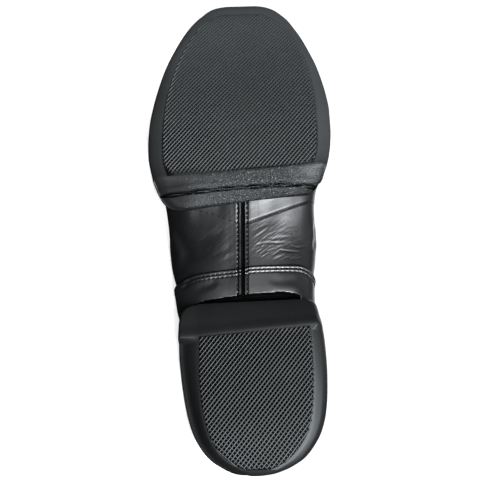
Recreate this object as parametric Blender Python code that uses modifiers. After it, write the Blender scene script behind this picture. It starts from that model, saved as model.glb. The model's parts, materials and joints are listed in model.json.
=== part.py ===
"""Split-sole dance shoe for the right foot, lying on its lateral side.

Every piece is modelled upright in the shoe's own frame, in millimetres: x runs from the back of
the heel to the toe, y to the medial side and z up from the tread plane.  One empty then lays the
whole shoe on its side.
"""

import math

import bmesh
import bpy
import numpy as np
from mathutils import Matrix, Vector

MM = 0.001
SHOE_NAME = "dance_shoe"

# Whole shoe
TOE_SPRING = 12.0
SPRING_START = 165.0
TOE_X = 240.0
SEAT_GAP = 0.3
WELD = 0.00001

# Upper
UPPER_WALL = 1.4
SECTION_SPACING = 6.5
CROWN_SHIFT = 5.0
CROWN_SHIFT_FROM = 104.0
CROWN_SHIFT_TO = 127.0
CROWN_SHIFT_WIDTH = 20.0
SECTION_NAMES = ("x", "lateral", "medial", "keel", "waist", "crown", "topline", "low", "high")
SECTIONS = (
    (1.0, 0.0, 0.0, 10.5, 24.0, 82.0, 58.0, 2.4, 2.0),
    (1.6, 6.6, 7.0, 10.3, 24.0, 82.0, 58.0, 2.6, 2.0),
    (4.0, 13.6, 15.2, 10.0, 24.0, 82.0, 57.5, 2.8, 2.0),
    (9.0, 19.2, 21.8, 9.7, 24.0, 82.0, 56.4, 3.0, 2.0),
    (17.0, 23.8, 27.4, 9.4, 24.0, 82.0, 54.2, 3.2, 2.0),
    (28.0, 26.4, 30.4, 9.2, 24.0, 82.0, 51.2, 3.2, 2.0),
    (42.0, 28.4, 31.6, 9.2, 24.0, 83.0, 48.8, 3.2, 2.0),
    (56.0, 31.2, 31.4, 9.4, 24.0, 84.0, 48.0, 3.2, 2.0),
    (70.0, 33.3, 31.0, 10.2, 24.5, 84.5, 49.0, 3.0, 2.0),
    (82.0, 35.2, 31.4, 11.6, 26.0, 84.0, 52.0, 2.8, 2.0),
    (94.0, 38.6, 33.8, 12.8, 29.0, 81.0, 58.0, 2.7, 2.0),
    (104.0, 40.1, 35.0, 12.6, 31.0, 77.5, 64.5, 2.7, 2.0),
    (112.0, 40.5, 35.0, 11.2, 30.0, 74.0, 69.0, 2.8, 2.0),
    (118.0, 40.6, 34.8, 9.6, 28.0, 71.2, 71.2, 3.0, 2.0),
    (127.0, 41.6, 34.8, 6.8, 24.0, 67.0, 67.0, 3.3, 2.0),
    (138.0, 44.2, 37.2, 4.7, 20.0, 60.5, 60.5, 3.7, 2.0),
    (152.0, 46.6, 41.2, 4.2, 17.0, 51.5, 51.5, 4.0, 2.05),
    (166.0, 46.2, 41.4, 4.2, 17.0, 44.0, 44.0, 4.0, 2.1),
    (180.0, 43.6, 39.8, 4.7, 17.0, 38.0, 38.0, 4.0, 2.2),
    (194.0, 39.6, 37.0, 6.0, 17.6, 34.0, 34.0, 3.8, 2.3),
    (207.0, 35.0, 33.2, 8.0, 19.0, 32.0, 32.0, 3.6, 2.4),
    (218.0, 30.0, 28.8, 10.2, 20.5, 31.2, 31.2, 3.4, 2.5),
    (226.0, 25.2, 24.6, 12.1, 21.8, 30.8, 30.8, 3.2, 2.5),
    (232.0, 20.2, 20.0, 13.8, 22.6, 30.2, 30.2, 3.0, 2.4),
    (236.0, 14.8, 14.6, 15.3, 23.0, 29.0, 29.0, 2.8, 2.2),
    (238.0, 8.6, 8.6, 16.6, 23.0, 27.4, 27.4, 2.6, 2.0),
    (238.6, 0.0, 0.0, 18.2, 23.0, 25.8, 25.8, 2.4, 2.0),
)
LOW_COLUMNS = 5
HIGH_COLUMNS = 6

# Heel-back profile: a row per height, height and forward lean of the back wall
LEAN_REACH = 60.0
LEAN = (
    (9.0, 4.0),
    (15.0, 1.2),
    (24.0, 0.0),
    (40.0, 1.5),
    (58.0, 5.0),
)

# Centre seam of the arch: a row per fold line, distance from the seam and rise of the wall
ARCH_FROM = 72.0
ARCH_TO = 130.0
ARCH_FADE = 12.0
SEAM_Y = -2.0
SEAM = (
    (0.0, -0.15),
    (0.6, -0.15),
    (1.6, 0.35),
    (3.2, 0.3),
    (4.6, 0.0),
)

# Openings under the soles: a row per sole, start and end along the shoe
OPEN_SHARE = 0.74
OPENINGS = (
    (12.0, 62.0),
    (143.0, 222.0),
)

# Heel panel
PANEL_WALL = 0.9
PANEL_EVEN_TO = 42.0
PANEL_SWEEP_TO = 112.0
PANEL_BEND_FROM = 0.55
PANEL_EDGE = 92.0
PANEL_EDGE_SIDE = 84.0
PANEL_EDGE_TOP = 68.0
PANEL_BELOW_TOP = 0.12

# Insole
INSOLE_WALL = 2.0
INSOLE_FROM = 3.0
INSOLE_TO = 23.0
INSOLE_SHARE = 0.62

# Soles: a row per section, and the side wall as rows of inset and share of the height
SOLE_NAMES = ("x", "lateral", "medial", "tread_lateral", "tread_medial", "rim", "tread", "lip")
TREAD_STEP = 0.5
FORE_SLANT = math.radians(3.5)
FORE_SLANT_END = 205.0
FORE_ROWS = (
    (121.4, 27.0, 26.0, 22.0, 22.0, 6.3, 6.3, 10.4),
    (122.4, 33.4, 29.6, 28.0, 25.0, 5.8, 5.8, 10.0),
    (124.6, 38.4, 32.2, 33.0, 28.0, 5.0, 5.0, 9.2),
    (127.4, 41.2, 34.2, 35.4, 29.0, 4.0, 4.0, 8.6),
    (128.2, 41.7, 34.6, 35.8, 29.2, 4.7, 4.7, 8.4),
    (129.6, 42.5, 35.6, 36.2, 29.6, 4.3, 4.3, 8.2),
    (130.4, 42.8, 36.6, 36.6, 30.0, 2.8, 2.8, 8.0),
    (134.0, 44.2, 38.0, 37.2, 30.8, 1.6, 1.6, 7.3),
    (137.4, 45.3, 39.3, 37.6, 31.6, 1.0, 1.0, 7.0),
    (138.0, 45.4, 39.5, 37.8, 32.0, 1.0, 0.0, 6.9),
    (142.0, 46.3, 40.6, 39.0, 33.8, 1.0, 0.0, 6.7),
    (149.0, 47.5, 41.8, 39.9, 34.8, 1.0, 0.0, 6.6),
    (157.0, 47.8, 42.4, 40.1, 35.2, 1.0, 0.0, 6.6),
    (166.0, 47.3, 42.4, 39.7, 35.2, 1.0, 0.0, 6.6),
    (176.0, 45.6, 41.4, 38.5, 34.8, 1.0, 0.0, 6.6),
    (186.0, 43.1, 39.7, 36.3, 33.8, 1.0, 0.0, 6.6),
    (196.0, 40.1, 37.5, 33.5, 32.0, 1.0, 0.0, 6.6),
    (206.0, 36.3, 34.3, 29.9, 29.3, 1.0, 0.0, 6.6),
    (215.0, 32.5, 31.0, 26.0, 25.8, 1.0, 0.0, 6.7),
    (222.0, 29.0, 27.8, 21.8, 21.6, 1.0, 0.0, 6.8),
    (228.0, 25.2, 24.8, 15.8, 15.8, 1.0, 0.0, 6.9),
    (231.0, 22.8, 22.6, 10.4, 10.4, 1.0, 0.0, 7.0),
    (231.6, 22.2, 22.1, 9.6, 9.6, 1.0, 1.0, 7.0),
    (235.0, 19.4, 19.2, 8.4, 8.4, 1.1, 1.1, 7.1),
    (237.4, 16.8, 16.4, 7.2, 7.2, 1.5, 1.5, 7.1),
    (239.2, 13.6, 13.4, 6.0, 6.0, 2.2, 2.2, 7.0),
    (240.0, 10.0, 10.0, 4.8, 4.8, 3.4, 3.4, 6.2),
)
FORE_WALL = (
    (2.4, 0.0),
    (0.8, 0.15),
    (0.0, 0.42),
    (0.2, 0.8),
    (1.0, 1.0),
)
HEEL_SLANT = math.radians(6.0)
HEEL_SLANT_START = 28.0
HEEL_SLANT_END = 58.0
HEEL_ROWS = (
    (0.0, 5.6, 5.6, 0.8, 0.8, 4.4, 4.4, 11.0),
    (0.5, 8.2, 8.8, 1.2, 1.4, 3.0, 3.0, 11.6),
    (1.6, 10.9, 12.2, 1.8, 3.0, 1.6, 1.6, 12.0),
    (3.4, 14.2, 16.7, 3.6, 6.4, 0.9, 0.9, 12.2),
    (3.9, 15.0, 17.6, 4.2, 7.6, 0.8, 0.0, 12.2),
    (6.5, 18.9, 21.7, 8.2, 13.4, 0.8, 0.0, 12.2),
    (11.0, 22.9, 25.9, 12.6, 19.0, 0.8, 0.0, 12.1),
    (17.0, 26.3, 29.7, 16.2, 23.2, 0.8, 0.0, 12.0),
    (25.0, 28.9, 32.2, 18.8, 26.0, 0.8, 0.0, 11.9),
    (34.0, 30.6, 33.4, 20.0, 27.3, 0.8, 0.0, 11.8),
    (44.0, 31.8, 33.9, 20.6, 27.8, 0.8, 0.0, 11.8),
    (54.0, 32.9, 33.6, 20.6, 27.9, 0.8, 0.0, 11.9),
    (60.4, 33.4, 32.9, 20.4, 27.6, 0.8, 0.0, 12.0),
    (61.0, 33.5, 32.8, 20.4, 27.4, 0.8, 0.8, 12.0),
    (66.0, 33.6, 32.0, 20.0, 25.8, 3.0, 3.0, 12.3),
    (71.0, 32.6, 30.8, 18.8, 23.8, 5.2, 5.2, 12.6),
    (74.6, 29.6, 28.4, 16.8, 21.2, 6.8, 6.8, 12.6),
    (76.4, 24.0, 24.0, 14.6, 18.0, 7.8, 7.8, 12.2),
)
HEEL_WALL = (
    (3.4, 0.0),
    (2.4, 0.14),
    (2.0, 0.42),
    (0.4, 0.5),
    (0.0, 0.58),
    (0.2, 0.9),
    (1.0, 1.0),
)

# Lying pose: the centre of mass of the finished shoe picks the lateral face that it rests on
BALANCE_POINT = Vector((111.2, -0.7, 13.8))
LATERAL_SHARE = 0.7

BLACK_LEATHER = (0.012, 0.012, 0.013, 1.0)
PANEL_LEATHER = (0.016, 0.016, 0.017, 1.0)
BLACK_RUBBER = (0.022, 0.022, 0.023, 1.0)
DARK_RUBBER = (0.028, 0.028, 0.029, 1.0)
SOCK_FABRIC = (0.045, 0.045, 0.047, 1.0)


def clear_scene():
    """Remove whatever the file holds."""
    for item in list(bpy.data.objects):
        bpy.data.objects.remove(item, do_unlink=True)


def toe_lift(x):
    """Height of the toe spring at x."""
    reach = max(x - SPRING_START, 0.0) / (TOE_X - SPRING_START)
    return TOE_SPRING * reach ** 2


def table_row(table, position):
    """Smooth row of a table at a fractional row number."""
    rows = np.array(table)
    last = len(rows) - 1
    index = int(min(max(math.floor(position), 0), last - 1))
    part = position - index
    before = rows[max(index - 1, 0)]
    start = rows[index]
    end = rows[index + 1]
    after = rows[min(index + 2, last)]
    cubic = 3.0 * start - before - 3.0 * end + after
    square = 2.0 * before - 5.0 * start + 4.0 * end - after
    return 0.5 * (2.0 * start + (end - before) * part + square * part ** 2 + cubic * part ** 3)


def section_position(x):
    """Fractional row number of the upper's section at x."""
    xs = [row[0] for row in SECTIONS]
    return float(np.interp(x, xs, range(len(xs))))


def ramp(value, start, end):
    """Smooth step from zero at start to one at end."""
    share = min(max((value - start) / (end - start), 0.0), 1.0)
    return share * share * (3.0 - 2.0 * share)


def arch_weight(x):
    """One in the arch, zero under the two soles."""
    return ramp(x, ARCH_FROM - ARCH_FADE, ARCH_FROM) * (1.0 - ramp(x, ARCH_TO, ARCH_TO + ARCH_FADE))


def columns():
    """Column numbers from the lateral top edge round the floor to the medial top edge."""
    count = len(SEAM) - 1 + LOW_COLUMNS + HIGH_COLUMNS
    return list(range(-count, count + 1))


def low_count():
    """Number of columns between the keel and the waist."""
    return len(SEAM) - 1 + LOW_COLUMNS


def low_angle(row, width, number):
    """Angle of a column below the waist, with the seam columns held apart in the arch."""
    even = 0.5 * math.pi * number / low_count()
    seam_last = len(SEAM) - 1
    share = min(SEAM[min(number, seam_last)][0] / max(width, 0.1), 1.0)
    angle = math.asin(share ** (row["low"] / 2.0))
    if number > seam_last:
        rest = (number - seam_last) / LOW_COLUMNS
        angle = angle + (0.5 * math.pi - angle) * rest
    weight = arch_weight(row["x"])
    return even + (angle - even) * weight


def panel_edge(column):
    """Section position of the heel panel's front edge at a column."""
    number = abs(column)
    low = min(number / low_count(), 1.0)
    high = max((number - low_count()) / HIGH_COLUMNS, 0.0)
    x = PANEL_EDGE + (PANEL_EDGE_SIDE - PANEL_EDGE) * ramp(low, PANEL_BEND_FROM, 1.0)
    x = x + (PANEL_EDGE_TOP - PANEL_EDGE_SIDE) * high
    return section_position(x)


def swept_position(position, column):
    """Section position after the sweep that follows the heel panel's front edge."""
    start = section_position(PANEL_EVEN_TO)
    front = panel_edge(0)
    end = section_position(PANEL_SWEEP_TO)
    share = (position - start) / (front - start)
    if position > front:
        share = (end - position) / (end - front)
    return position + max(share, 0.0) * (panel_edge(column) - front)


def form_point(position, column, top_share=1.0):
    """Point of the upper's outer form for a section position and a column number."""
    row = dict(zip(SECTION_NAMES, table_row(SECTIONS, swept_position(position, column))))
    side = 1.0 if column >= 0 else -1.0
    width = row["medial"] if column >= 0 else row["lateral"]
    width = max(width, 0.0)
    number = abs(column)
    if number <= low_count():
        angle = low_angle(row, width, number)
        power = 2.0 / row["low"]
        y = side * width * math.sin(angle) ** power
        z = row["waist"] - (row["waist"] - row["keel"]) * max(math.cos(angle), 0.0) ** power
        y = y + SEAM_Y * (1.0 - math.sin(angle)) * arch_weight(row["x"])
    else:
        rise = min((row["topline"] - row["waist"]) / (row["crown"] - row["waist"]), 1.0)
        end = math.asin(rise ** (row["high"] / 2.0))
        share = top_share * (number - low_count()) / HIGH_COLUMNS
        angle = end * share
        power = 2.0 / row["high"]
        height = math.sin(angle) ** power
        y = side * width * max(math.cos(angle), 0.0) ** power
        z = row["waist"] + (row["crown"] - row["waist"]) * height
        closed = ramp(row["x"], CROWN_SHIFT_FROM, CROWN_SHIFT_TO)
        y = y + CROWN_SHIFT * height ** 2 * closed * min(width / CROWN_SHIFT_WIDTH, 1.0)
    heights = [entry[0] for entry in LEAN]
    shifts = [entry[1] for entry in LEAN]
    fade = max(1.0 - row["x"] / LEAN_REACH, 0.0) ** 2
    x = row["x"] + float(np.interp(z, heights, shifts)) * fade
    return Vector((x, y, z))


def seam_rise(position, column):
    """Extra height of the wall along the centre seam of the arch."""
    x = table_row(SECTIONS, swept_position(position, column))[0]
    number = min(abs(column), len(SEAM) - 1)
    return SEAM[number][1] * arch_weight(x)


def form_sheet(positions, numbers, offset, place):
    """Grid sheet over the form, moved outward by offset.

    positions are section positions, numbers are column numbers and place maps the two to a point.
    """
    sheet = bmesh.new()
    x_count = len(positions) - 1
    y_count = len(numbers) - 1
    bmesh.ops.create_grid(sheet, x_segments=x_count, y_segments=y_count, size=0.5)
    rises = {}
    for vert in sheet.verts:
        across = int(round((vert.co.x + 0.5) * x_count))
        along = int(round((vert.co.y + 0.5) * y_count))
        vert.co = place(positions[across], numbers[along])
        rises[vert.index] = seam_rise(positions[across], numbers[along])
    layer = sheet.verts.layers.float.new("rise")
    sheet.verts.ensure_lookup_table()
    for vert in sheet.verts:
        vert[layer] = rises[vert.index]
    bmesh.ops.remove_doubles(sheet, verts=sheet.verts, dist=WELD / MM)
    bmesh.ops.recalc_face_normals(sheet, faces=sheet.faces)
    sheet.normal_update()
    outward(sheet)
    moves = [(vert, vert.normal * (offset + vert[layer])) for vert in sheet.verts]
    for vert, move in moves:
        vert.co += move
    return sheet


def outward(sheet):
    """Turn a sheet so that its normals point away from the inside of the shoe."""
    lowest = min(sheet.faces, key=lambda face: face.calc_center_median().z)
    if lowest.normal.z > 0.0:
        bmesh.ops.reverse_faces(sheet, faces=sheet.faces)
        sheet.normal_update()


def sole_openings(sheet):
    """Delete the floor of the upper where a sole closes it."""
    doomed = []
    for face in sheet.faces:
        centre = face.calc_center_median()
        row = dict(zip(SECTION_NAMES, table_row(SECTIONS, section_position(centre.x))))
        width = row["medial"] if centre.y > 0.0 else row["lateral"]
        inside = abs(centre.y) < OPEN_SHARE * width and centre.z < row["waist"]
        under = any(start < centre.x < end for start, end in OPENINGS)
        if inside and under:
            doomed.append(face)
    bmesh.ops.delete(sheet, geom=doomed, context="FACES")


def split_quads(sheet):
    """Split every quad the same way, so that sheets over one another stay parallel."""
    bmesh.ops.triangulate(sheet, faces=sheet.faces, quad_method="FIXED")


def finish_mesh(sheet, name, collection, colour, rough):
    """Make an object from a mesh in millimetres, with a material of its own."""
    bmesh.ops.scale(sheet, vec=Vector((MM, MM, MM)), verts=sheet.verts)
    data = bpy.data.meshes.new(name)
    sheet.to_mesh(data)
    sheet.free()
    item = bpy.data.objects.new(name, data)
    collection.objects.link(item)
    material = bpy.data.materials.new(name + "_finish")
    material.use_nodes = True
    shader = material.node_tree.nodes["Principled BSDF"]
    shader.inputs["Base Color"].default_value = colour
    shader.inputs["Roughness"].default_value = rough
    data.materials.append(material)
    return item


def thicken(item, wall):
    """Give a sheet its wall, inward from the sheet."""
    solid = item.modifiers.new("wall", "SOLIDIFY")
    solid.thickness = wall * MM
    solid.offset = -1.0
    solid.use_even_offset = True
    solid.use_rim = True
    solid.use_quality_normals = True


def section_positions():
    """Section positions of the whole upper, with one halfway where two rows are far apart
    and one at the heel panel's front edge.
    """
    positions = [0.0]
    for number in range(1, len(SECTIONS)):
        if SECTIONS[number][0] - SECTIONS[number - 1][0] > SECTION_SPACING:
            positions.append(number - 0.5)
        positions.append(float(number))
    return sorted(positions + [panel_edge(0)])


def build_upper(collection):
    """The hollow upper: one wall, open at the collar and under the two soles."""
    sheet = form_sheet(section_positions(), columns(), 0.0, form_point)
    sole_openings(sheet)
    split_quads(sheet)
    item = finish_mesh(sheet, "upper", collection, BLACK_LEATHER, 0.4)
    thicken(item, UPPER_WALL)
    return item


def build_heel_panel(collection):
    """The panel round the heel that laps over the arch."""
    positions = [position for position in section_positions() if position <= panel_edge(0)]

    def place(position, column):
        return form_point(position, column, 1.0 - PANEL_BELOW_TOP)

    sheet = form_sheet(positions, columns(), SEAT_GAP + PANEL_WALL, place)
    sole_openings(sheet)
    split_quads(sheet)
    item = finish_mesh(sheet, "heel_panel", collection, PANEL_LEATHER, 0.42)
    thicken(item, PANEL_WALL)
    return item


def build_insole(collection):
    """The thin sock over the upper's floor."""
    last = int(low_count() * INSOLE_SHARE)
    numbers = [number for number in columns() if abs(number) <= last]
    positions = [entry for entry in section_positions() if INSOLE_FROM <= entry <= INSOLE_TO]
    sheet = form_sheet(positions, numbers, -(UPPER_WALL + SEAT_GAP), form_point)
    split_quads(sheet)
    item = finish_mesh(sheet, "insole", collection, SOCK_FABRIC, 0.9)
    thicken(item, INSOLE_WALL)
    return item


def build_form_cutter(name, offset, collection):
    """Closed lower half of the form, moved outward, that trims the top of a sole."""
    numbers = [number for number in columns() if abs(number) <= low_count()]
    sheet = form_sheet(section_positions(), numbers, offset, form_point)
    split_quads(sheet)
    rim = [edge for edge in sheet.edges if edge.is_boundary]
    bmesh.ops.holes_fill(sheet, edges=rim, sides=0)
    bmesh.ops.recalc_face_normals(sheet, faces=sheet.faces)
    item = finish_mesh(sheet, name, collection, BLACK_RUBBER, 0.5)
    item.hide_render = True
    item.display_type = "WIRE"
    return item


def sole_loop(row, wall, slant):
    """Closed outline of one sole section, tread first, then the medial wall, top and lateral wall."""
    part = dict(zip(SOLE_NAMES, row))
    lift = toe_lift(part["x"])
    height = part["lip"] - part["rim"]
    medial = [(part["medial"] - inset, part["rim"] + share * height) for inset, share in wall]
    lateral = [(inset - part["lateral"], part["rim"] + share * height) for inset, share in wall]
    loop = [(0.0, part["tread"])]
    loop.append((part["tread_medial"], part["tread"]))
    loop.append((part["tread_medial"] + TREAD_STEP, part["rim"]))
    loop.extend(medial)
    loop.append((0.0, part["lip"]))
    loop.extend(reversed(lateral))
    loop.append((-part["tread_lateral"] - TREAD_STEP, part["rim"]))
    loop.append((-part["tread_lateral"], part["tread"]))
    loop.append(loop[0])
    return [Vector((part["x"] + y * math.tan(slant(part["x"])), y, z + lift)) for y, z in loop]


def build_sole(name, rows, wall, slant, cutter, collection, colour):
    """A moulded sole: a loft through its sections, trimmed to the upper."""
    loops = [sole_loop(row, wall, slant) for row in rows]
    x_count = len(loops) - 1
    y_count = len(loops[0]) - 1
    block = bmesh.new()
    bmesh.ops.create_grid(block, x_segments=x_count, y_segments=y_count, size=0.5)
    for vert in block.verts:
        across = int(round((vert.co.x + 0.5) * x_count))
        along = int(round((vert.co.y + 0.5) * y_count))
        vert.co = loops[across][along]
    bmesh.ops.remove_doubles(block, verts=block.verts, dist=WELD / MM)
    ends = [edge for edge in block.edges if edge.is_boundary]
    bmesh.ops.holes_fill(block, edges=ends, sides=0)
    bmesh.ops.recalc_face_normals(block, faces=block.faces)
    item = finish_mesh(block, name, collection, colour, 0.55)
    trim = item.modifiers.new("seat", "BOOLEAN")
    trim.operation = "DIFFERENCE"
    trim.solver = "EXACT"
    trim.object = cutter
    return item


def fore_slant(x):
    """Turn of the forefoot sections, gone before the toe."""
    return FORE_SLANT * (1.0 - ramp(x, SPRING_START, FORE_SLANT_END))


def heel_slant(x):
    """Turn of the heel sections, gone at the back."""
    return HEEL_SLANT * ramp(x, HEEL_SLANT_START, HEEL_SLANT_END)


def resting_turn(items):
    """Rotation that lays the shoe on the flat of its lateral side."""
    hull = bmesh.new()
    for item in items:
        for vert in item.data.vertices:
            hull.verts.new(vert.co / MM)
    result = bmesh.ops.convex_hull(hull, input=hull.verts)
    faces = [entry for entry in result["geom"] if isinstance(entry, bmesh.types.BMFace)]
    lying = Matrix(((-1.0, 0.0, 0.0), (0.0, 0.0, 1.0), (0.0, 1.0, 0.0)))
    down = Vector((0.0, 0.0, -1.0))
    rest = None
    for face in faces:
        normal = face.normal.copy()
        centre = face.calc_center_median()
        if normal.dot(centre - BALANCE_POINT) < 0.0:
            normal.negate()
        if normal.y > -LATERAL_SHARE:
            continue
        foot = BALANCE_POINT + normal * normal.dot(centre - BALANCE_POINT)
        corners = [loop.vert.co for loop in face.loops]
        sides = []
        for first, second in zip(corners, corners[1:] + corners[:1]):
            sides.append((second - first).cross(foot - first).dot(face.normal))
        if all(value >= 0.0 for value in sides) or all(value <= 0.0 for value in sides):
            rest = normal
    hull.free()
    settled = (lying @ rest).rotation_difference(down).to_matrix()
    return settled @ lying


def lay_down(items, cutters):
    """Parent every piece to an empty that lays the shoe on the floor, centred on its box."""
    turn = resting_turn(items)
    points = []
    for item in items:
        points.extend(turn @ vert.co for vert in item.data.vertices)
    low = Vector(tuple(min(point[axis] for point in points) for axis in range(3)))
    high = Vector(tuple(max(point[axis] for point in points) for axis in range(3)))
    shoe = bpy.data.objects.new("shoe_pose", None)
    items[0].users_collection[0].objects.link(shoe)
    shoe.rotation_euler = turn.to_euler()
    shoe.location = (-0.5 * (low.x + high.x), -0.5 * (low.y + high.y), -low.z)
    for item in items + cutters:
        item.parent = shoe


def main():
    """Build the shoe."""
    clear_scene()
    pieces = bpy.data.collections.new(SHOE_NAME)
    tools = bpy.data.collections.new("cutters")
    bpy.context.scene.collection.children.link(pieces)
    bpy.context.scene.collection.children.link(tools)
    upper = build_upper(pieces)
    panel = build_heel_panel(pieces)
    fore_cutter = build_form_cutter("forefoot_seat", SEAT_GAP, tools)
    heel_cutter = build_form_cutter("heel_seat", 2.0 * SEAT_GAP + PANEL_WALL, tools)
    fore = build_sole("forefoot_outsole", FORE_ROWS, FORE_WALL, fore_slant, fore_cutter, pieces,
                      BLACK_RUBBER)
    heel = build_sole("heel_outsole", HEEL_ROWS, HEEL_WALL, heel_slant, heel_cutter, pieces,
                      DARK_RUBBER)
    insole = build_insole(pieces)
    lay_down([upper, panel, fore, heel, insole], [fore_cutter, heel_cutter])


main()
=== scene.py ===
"""Looks of the split-sole dance shoe: leather, rubber, thread, sock, stage, light and camera.

Sizes are in millimetres in the shoe's own frame: x runs from the back of the heel to the toe, y to the
medial side and z up from the tread plane. ShoePose turns them into the row's frame, in metres.
"""

import json
import logging
import math
from dataclasses import dataclass, field
from enum import Enum

import bmesh
import bpy
import numpy as np
from mathutils import Matrix, Vector


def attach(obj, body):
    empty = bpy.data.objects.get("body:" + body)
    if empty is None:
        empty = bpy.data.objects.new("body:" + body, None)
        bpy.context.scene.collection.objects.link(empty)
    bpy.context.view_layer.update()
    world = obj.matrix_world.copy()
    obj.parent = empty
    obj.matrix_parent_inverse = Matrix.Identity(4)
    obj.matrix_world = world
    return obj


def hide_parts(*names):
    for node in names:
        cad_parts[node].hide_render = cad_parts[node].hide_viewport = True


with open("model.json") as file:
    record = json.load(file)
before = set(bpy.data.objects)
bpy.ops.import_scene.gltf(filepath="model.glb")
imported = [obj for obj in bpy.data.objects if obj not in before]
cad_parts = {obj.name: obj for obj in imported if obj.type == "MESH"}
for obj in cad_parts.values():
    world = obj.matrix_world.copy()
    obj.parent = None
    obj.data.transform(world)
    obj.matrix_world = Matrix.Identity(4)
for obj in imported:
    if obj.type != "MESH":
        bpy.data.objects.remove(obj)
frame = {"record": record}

Array = np.ndarray
Table = tuple[tuple[float, ...], ...]
Span = tuple[float, float]
Triple = tuple[float, float, float]
Faces = list[tuple[int, ...]]
Material = bpy.types.Material
Piece = bpy.types.Object
Socket = bpy.types.NodeSocket
LOG = logging.getLogger("dance_shoe")
MM = 0.001
WELD_M = 0.000004
# Surface marks at the points: grain, whose lighter pebble tone also carries painted light across the sole;
# wear mixed with painted highlights; and painted shade.
MARKS = ("grain", "wear", "pit")
# Near-black, nearly glossless finish that paints shade into gaps, seam grooves, stitch holes, tread valleys
# and crease lines.
PAINTED_SHADE = {
    "dark": (0.0004, 0.0004, 0.0004),
    "light": (0.0008, 0.0008, 0.0009),
    "rough": (0.6, 0.75),
    "gloss": 0.02,
}
SHOE_MIDDLE = (0.0, -0.03, 0.04)
LEAST_LENGTH = 1e-9
STITCH_SHARE = 0.6
STITCH_FADE = 0.1
FLOOR_SHARE = 0.5
SIDE_SHARE = 0.15
MIX_TONES = (6, 7)
MIX_RESULT = 2


class Side(Enum):
    """Half of the shoe, with the sign of its y."""

    LATERAL = -1.0
    MEDIAL = 1.0


class Plane(Enum):
    """Face of the shoe on which a detail is drawn, in x and y or in x and z."""

    FLOOR = "floor"
    TOP = "top"
    LATERAL = "lateral"
    MEDIAL = "medial"


def ramp(value: Array | float, start: float, end: float) -> Array:
    """Smooth step from zero to one."""
    share = np.clip((np.asarray(value, dtype=float) - start) / (end - start), 0.0, 1.0)
    return share * share * (3.0 - 2.0 * share)


def spline_rows(table: Table, positions: Array) -> Array:
    """Smooth rows of a table at fractional row numbers.

    Args:
        table: Rows of numbers.
        positions: Row numbers.

    Returns:
        One row for each position.
    """
    rows = np.array(table, dtype=float)
    last = len(rows) - 1
    index = np.clip(np.floor(positions).astype(int), 0, last - 1)
    part = (positions - index)[:, None]
    before, start = rows[np.maximum(index - 1, 0)], rows[index]
    end, after = rows[index + 1], rows[np.minimum(index + 2, last)]
    cubic = 3.0 * start - before - 3.0 * end + after
    square = 2.0 * before - 5.0 * start + 4.0 * end - after
    return 0.5 * (2.0 * start + (end - before) * part + square * part**2 + cubic * part**3)


def steady_curve(knots: Array, values: Array, at: Array) -> Array:
    """Smooth curve through a table that never swings past its neighbours.

    Args:
        knots: Rising places of the table's rows.
        values: The rows' values.
        at: Places to read.

    Returns:
        The value at each place.
    """
    step = np.diff(knots)
    slope = np.diff(values) / step
    tangent = np.zeros(len(knots))
    tangent[0], tangent[-1] = slope[0], slope[-1]
    same = slope[:-1] * slope[1:] > 0.0
    near, far = (2.0 * step[1:] + step[:-1])[same], (step[1:] + 2.0 * step[:-1])[same]
    tangent[1:-1][same] = (near + far) / (near / slope[:-1][same] + far / slope[1:][same])
    index = np.clip(np.searchsorted(knots, at, side="right") - 1, 0, len(knots) - 2)
    gap = step[index]
    part = np.clip((at - knots[index]) / gap, 0.0, 1.0)
    rest = 1.0 - part
    return (
        values[index] * (1.0 + 2.0 * part) * rest**2
        + values[index + 1] * part**2 * (3.0 - 2.0 * part)
        + gap * part * rest * (tangent[index] * rest - tangent[index + 1] * part)
    )


def unit(vectors: Array) -> Array:
    """Vectors of length one."""
    length = np.linalg.norm(vectors, axis=-1, keepdims=True)
    return vectors / np.maximum(length, LEAST_LENGTH)


def dashes(run: Array, pitch: float) -> Array:
    """Row of soft pulses: one inside each stitch, zero between two stitches."""
    phase = np.abs(run / pitch - np.round(run / pitch))
    return 1.0 - ramp(phase, 0.5 * STITCH_SHARE - STITCH_FADE, 0.5 * STITCH_SHARE + STITCH_FADE)


def bell(value: Array, centre: Array | float, width: float) -> Array:
    """Soft bump of height one round a place."""
    return np.exp(-(((value - centre) / width) ** 2))


def plateau(value: Array | float, rise: Span, fall: Span) -> Array:
    """One between two smooth steps, zero outside them."""
    return ramp(value, *rise) * (1.0 - ramp(value, *fall))


def ripples(rows: Table, along: Array, across: Array) -> Array:
    """Sum of long low waves, each a row of its steps along and across, phase and height."""
    return sum(high * np.sin(first * along + second * across + phase) for first, second, phase, high in rows)


def run_length(steps: Array) -> Array:
    """Distance covered before each step and after the last one."""
    return np.concatenate([[0.0], np.cumsum(steps)])


def mirrored(half: Array) -> Array:
    """Columns of both halves from those of one half, which start at zero."""
    return np.concatenate([-half[::-1], half[1:]])


def half_columns(fine: Table, end: float, count: int) -> Array:
    """Columns of one half: fine rows of start, end and step, then even ones up to the end."""
    parts = [np.arange(*row) for row in fine]
    return np.concatenate([*parts, np.linspace(fine[-1][1], end, count)])


def placed(name: str, data: bpy.types.ID) -> Piece:
    """Put a new object into the scene.

    Args:
        name: The object's name.
        data: Its mesh, light or camera.

    Returns:
        The object.
    """
    item = bpy.data.objects.new(name, data)
    bpy.context.scene.collection.objects.link(item)
    return item


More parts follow.
